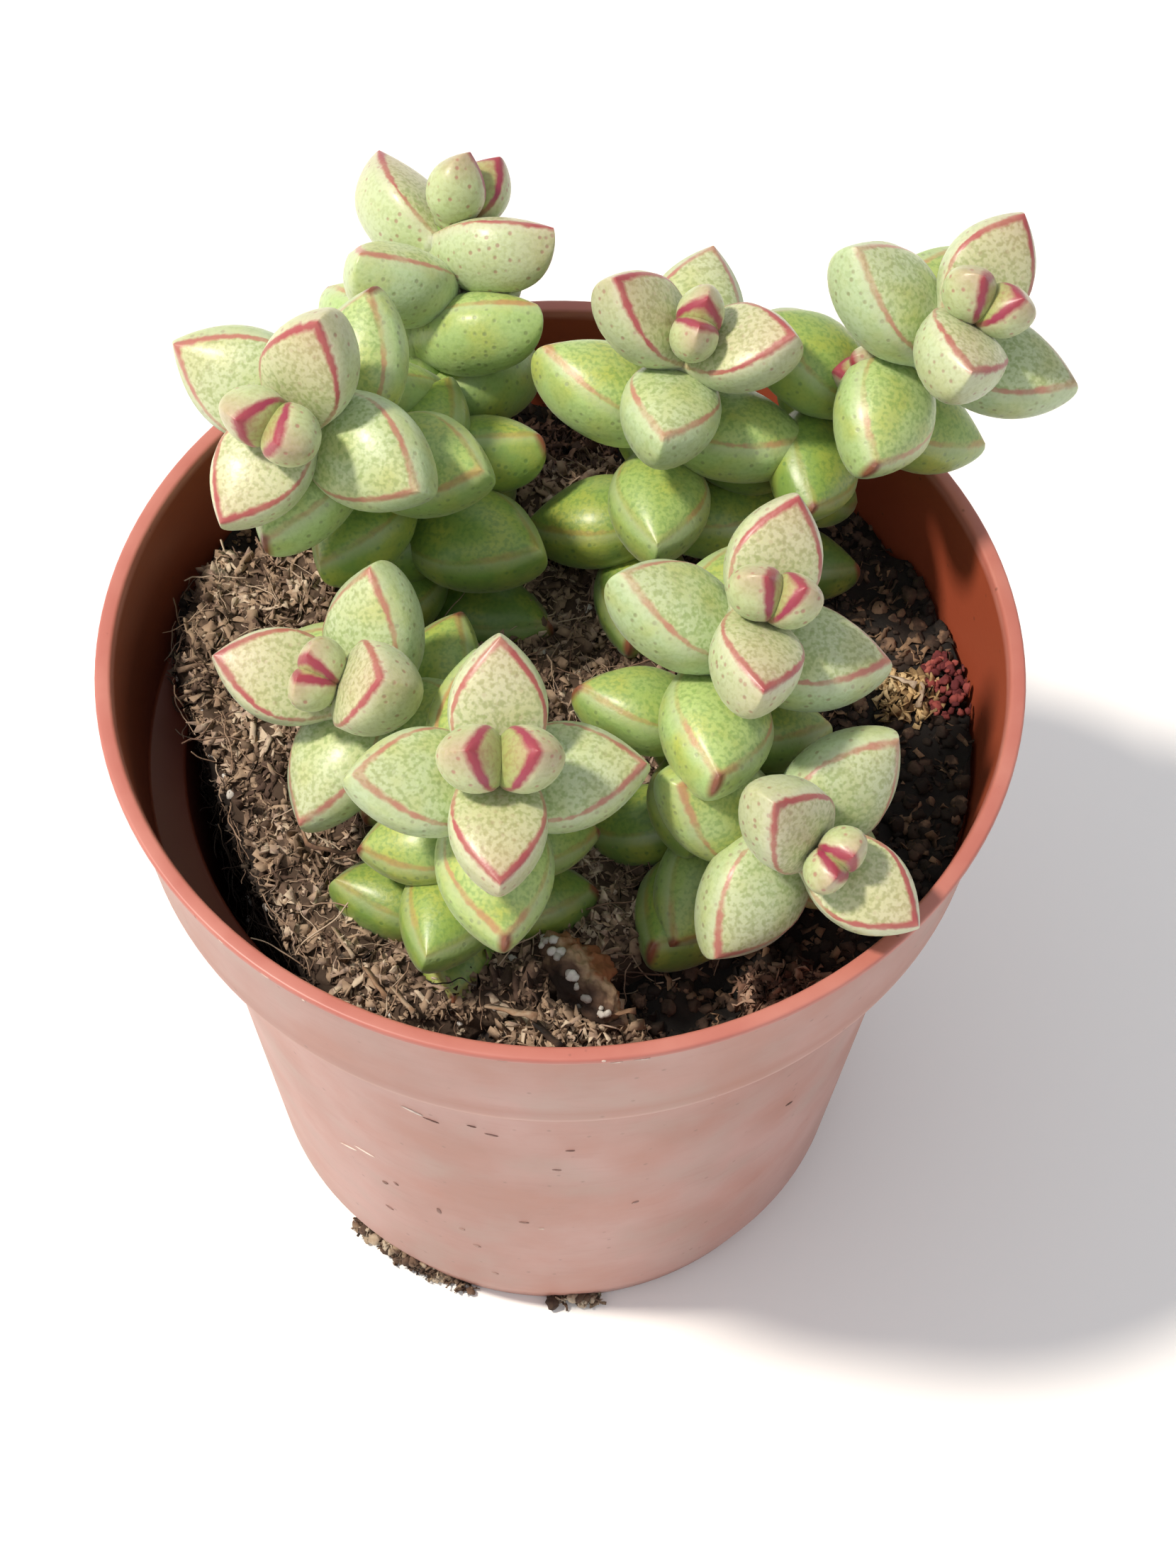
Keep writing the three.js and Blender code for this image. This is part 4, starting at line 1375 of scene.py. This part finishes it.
class CRASSULA_OT_scraps(bpy.types.Operator):
    """Lay single strips, twigs and a lump of bark on the soil, and peat at the pot's foot"""

    bl_idname = "crassula.scraps"
    bl_label = "Scraps and Bark"

    def execute(self, context):
        draw = random.Random(context.scene.crassula_soil.seed)
        masters = {"flake": model_flake(1), "fibre": model_fibre(2)}
        strips = Gathered("chance")
        for scrap in SCRAPS:
            start, end = Vector(scrap.start), Vector(scrap.end)
            run = end - start
            corners, faces = masters[scrap.kind]
            width = run.length * scrap.width
            matrix = Matrix.LocRotScale(
                (start + end) / 2 * MM, run.to_track_quat("X", "Z"), Vector((run.length, width, width)) * MM
            )
            strips.add(placed(corners, matrix), faces, chance=scrap.shade)
        strips = strips.to_object("soil_scraps")
        keep_inside_pot(strips)
        # The near-black stop also colours the strip that paints a shaded gap
        stops = ((0, "#17110e"), (0.3, "#5a4232"), (0.6, "#8a6b52"), (0.85, "#a08d78"), (1, "#bcab97"))
        finish_piece(strips, "soil_scraps", loose_matter("plant_scrap_and_painted_gap", stops, 0.9 * MM), "peat")
        self.bark(draw)
        self.foot_clumps(draw)
        return {"FINISHED"}

    def bark(self, draw):
        """A worn lump of bark with pale grains caught along its ridge."""
        bpy.ops.mesh.primitive_ico_sphere_add(subdivisions=5, radius=1)
        lump = bpy.context.object
        start_edit(range(len(lump.data.vertices)))
        bpy.ops.transform.resize(value=(2.1 * MM, 4.6 * MM, 3.1 * MM), center_override=(0, 0, 0))
        bpy.ops.transform.rotate(value=-BARK_TURN, orient_axis="Z", center_override=(0, 0, 0))
        bpy.ops.transform.translate(value=BARK_PLACE * MM)
        bpy.ops.object.mode_set(mode="OBJECT")
        roughen("bark_ridges", 0.0022, 0.0026)
        roughen("bark_grain", 0.0009, 0.0012)
        lump.data.shade_smooth()
        keep_inside_pot(lump)
        stops = (
            (0.05, "#2b1e17"), (0.3, "#5d4636"), (0.5, "#a58a6e"), (0.68, "#8a5736"), (1, "#7a4a2c")
        )
        finish_piece(lump, "bark_lump", loose_matter("weathered_bark", stops, 1.4 * MM), "peat")
        chance = lump.data.attributes.new("chance", "FLOAT", "POINT")
        across = Vector((math.cos(BARK_TURN), math.sin(BARK_TURN), 0))
        for vertex, value in zip(lump.data.vertices, chance.data):
            value.value = 0.5 + 0.12 * (vertex.co / MM - BARK_PLACE).dot(across)

        def on_ridge(point, normal):
            return normal.z > 0.1 and abs((point - BARK_PLACE).dot(across) + 1.3) < 0.6

        spots = surface_spots(lump, 22, draw, on_ridge)
        grains = strew("bark_grains", [model_crumb(3, 0.05)], spots, (0.5, 1.2), draw, 0.5)
        pale = loose_matter("perlite_crumb", ((0, "#a8a29a"), (1, "#e4e1da")), 0.3 * MM)
        finish_piece(grains, "bark_grains", pale, "peat")

    def foot_clumps(self, draw):
        """Peat that fell on the floor and dried against the pot's foot."""
        masters = [model_flake(seed) for seed in range(4)] + [model_crumb(1, 0.12)]
        spots = []
        for first, last, height, count in FOOT_CLUMPS:
            for _ in range(count):
                share = draw.random()
                angle = math.radians(first + (last - first) * share)
                most = height * math.sin(math.pi * (0.15 + 0.7 * share))
                z = LOWEST_CLUMP + draw.random() * max(0, most - LOWEST_CLUMP)
                # Close to the wall, which leans out, and spread wider on the floor than above it
                radius = 29 + 0.32 * z + draw.random() * (1.5 - 0.3 * z)
                point = Vector((radius * math.cos(angle), radius * math.sin(angle), z)) * MM
                normal = Vector((draw.uniform(-1, 1), draw.uniform(-1, 1), 1)).normalized()
                spots.append((point, normal))
        clumps = strew("fallen_peat", masters, spots, (0.5, 1.7), draw, 0.6)
        for vertex in clumps.data.vertices:
            vertex.co.z = max(vertex.co.z, 0.00005)
        stops = ((0, "#3a2a20"), (0.4, "#6b5443"), (0.75, "#948069"), (1, "#b0a18c"))
        finish_piece(clumps, "fallen_peat", loose_matter("dried_peat", stops, 1.0 * MM), "peat")


class CRASSULA_OT_marks(bpy.types.Operator):
    """Put dried splashes and scuffs on the outside of the pot, and painted glints on its lip"""

    bl_idname = "crassula.marks"
    bl_label = "Splashes and Scuffs"

    def execute(self, context):
        corners, faces = self.model_mark()
        marks = Gathered("chance")
        for mark in MARKS:
            angle = math.radians(mark.angle)
            radius = wall_radius(OUTER_SPANS, mark.height)
            out = Vector((math.cos(angle), math.sin(angle), -math.sin(WALL_SLOPE))).normalized()
            place = Vector((radius * math.cos(angle), radius * math.sin(angle), mark.height)) * MM
            around = Vector((0, 0, 1)).cross(out)
            turn = Matrix((around.normalized(), out.cross(around).normalized(), out)).transposed()
            turn = Matrix.Rotation(math.radians(mark.tilt), 3, out) @ turn
            size = (mark.length * MM, mark.width * MM, MARK_THICKNESS * MM, 1)
            matrix = turn.to_4x4() @ Matrix.Diagonal(size)
            matrix.translation = place
            marks.add(placed(corners, matrix), faces, chance=mark.shade)
        marks = marks.to_object("splashes_scuffs_and_painted_glints")
        # The palest stop gives scuffed plastic on the wall and painted glints on the lip
        stops = ((0, "#5f4237"), (0.4, "#94736a"), (0.8, "#c2a99c"), (1, "#dccbbf"))
        dried = loose_matter("dried_splash_and_painted_glint", stops, 0.5 * MM, roughness=0.7)
        finish_piece(marks, "splashes_scuffs_and_painted_glints", dried, "pot")
        return {"FINISHED"}

    def model_mark(self):
        """A flat ragged blister, 1 long and 1 wide."""
        bpy.ops.mesh.primitive_ico_sphere_add(subdivisions=3, radius=0.5)
        start_edit(range(len(bpy.context.object.data.vertices)))
        bpy.ops.transform.vertex_random(offset=0.09, uniform=0.5, seed=4)
        bpy.ops.object.mode_set(mode="OBJECT")
        return copy_out(bpy.context.object)


class CRASSULA_OT_stage(bpy.types.Operator):
    """Set up the floor, the lights and the camera"""

    bl_idname = "crassula.stage"
    bl_label = "Floor, Lights and Camera"

    def execute(self, context):
        stage = context.scene.crassula_stage
        bpy.ops.mesh.primitive_plane_add(size=12)
        floor = context.object
        floor.name = "floor"
        floor.data.materials.append(pale_board())

        world = bpy.data.worlds.new("even_light")
        context.scene.world = world
        world.use_nodes = True
        sky = Recipe(world.node_tree)
        across = sky.add("ShaderNodeTexCoord", output="Generated")
        across = sky.add("ShaderNodeSeparateXYZ", {"Vector": across}, output="X")
        strengths = [(1 + slant) * stage.sky_strength for slant in (SKY_SLANT, -SKY_SLANT)]
        strength = sky.map_range(across, (-1, 1), strengths)
        light = sky.add("ShaderNodeBackground", {"Color": "#f4f6fa", "Strength": strength})
        sky.add("ShaderNodeOutputWorld", {"Surface": light})

        powers = {"key": stage.key_power, "fill": stage.fill_power}
        for name, place, size, code in LIGHTS:
            bpy.ops.object.light_add(type="AREA", location=place)
            light = context.object
            light.name = name
            light.data.shape = "DISK"
            light.data.size = size
            light.data.energy = powers[name]
            light.data.color = linear(code)[:3]
            aim = LIT_PLACE - light.location
            light.rotation_euler = aim.to_track_quat("-Z", "Y").to_euler()

        bpy.ops.object.camera_add(
            location=CAMERA_PLACE, rotation=[math.radians(angle) for angle in CAMERA_TURN]
        )
        camera = context.object
        camera.data.lens = stage.lens / MM
        camera.data.sensor_width = SENSOR_WIDTH
        camera.data.clip_start = 0.01
        context.scene.camera = camera
        context.scene.view_settings.view_transform = "Standard"
        return {"FINISHED"}


class CRASSULA_PT_panel(bpy.types.Panel):
    """The steps that build the potted plant"""

    bl_idname = "CRASSULA_PT_panel"
    bl_label = "Potted Crassula"
    bl_space_type = "VIEW_3D"
    bl_region_type = "UI"
    bl_category = "Crassula"

    def draw(self, context):
        for step in OPERATORS:
            self.layout.operator(step.bl_idname)
        for group in SETTINGS:
            settings = getattr(context.scene, group)
            box = self.layout.box()
            for name in type(settings).__annotations__:
                box.prop(settings, name)


OPERATORS = (
    CRASSULA_OT_pot,
    CRASSULA_OT_root_ball,
    CRASSULA_OT_compost,
    CRASSULA_OT_shoots,
    CRASSULA_OT_litter,
    CRASSULA_OT_scraps,
    CRASSULA_OT_marks,
    CRASSULA_OT_stage,
)
SETTINGS = {
    "crassula_pot": PotSettings,
    "crassula_leaves": LeafSettings,
    "crassula_soil": SoilSettings,
    "crassula_stage": StageSettings,
}


def register():
    for each in (*SETTINGS.values(), *OPERATORS, CRASSULA_PT_panel):
        bpy.utils.register_class(each)
    for name, settings in SETTINGS.items():
        setattr(bpy.types.Scene, name, PointerProperty(type=settings))


def unregister():
    for name in SETTINGS:
        delattr(bpy.types.Scene, name)
    for each in (CRASSULA_PT_panel, *reversed(OPERATORS), *SETTINGS.values()):
        bpy.utils.unregister_class(each)


def main():
    register()
    bpy.ops.crassula.pot()
    bpy.ops.crassula.root_ball()
    bpy.ops.crassula.compost()
    bpy.ops.crassula.shoots()
    bpy.ops.crassula.litter()
    bpy.ops.crassula.scraps()
    bpy.ops.crassula.marks()
    bpy.ops.crassula.stage()


if __name__ == "__main__":
    main()
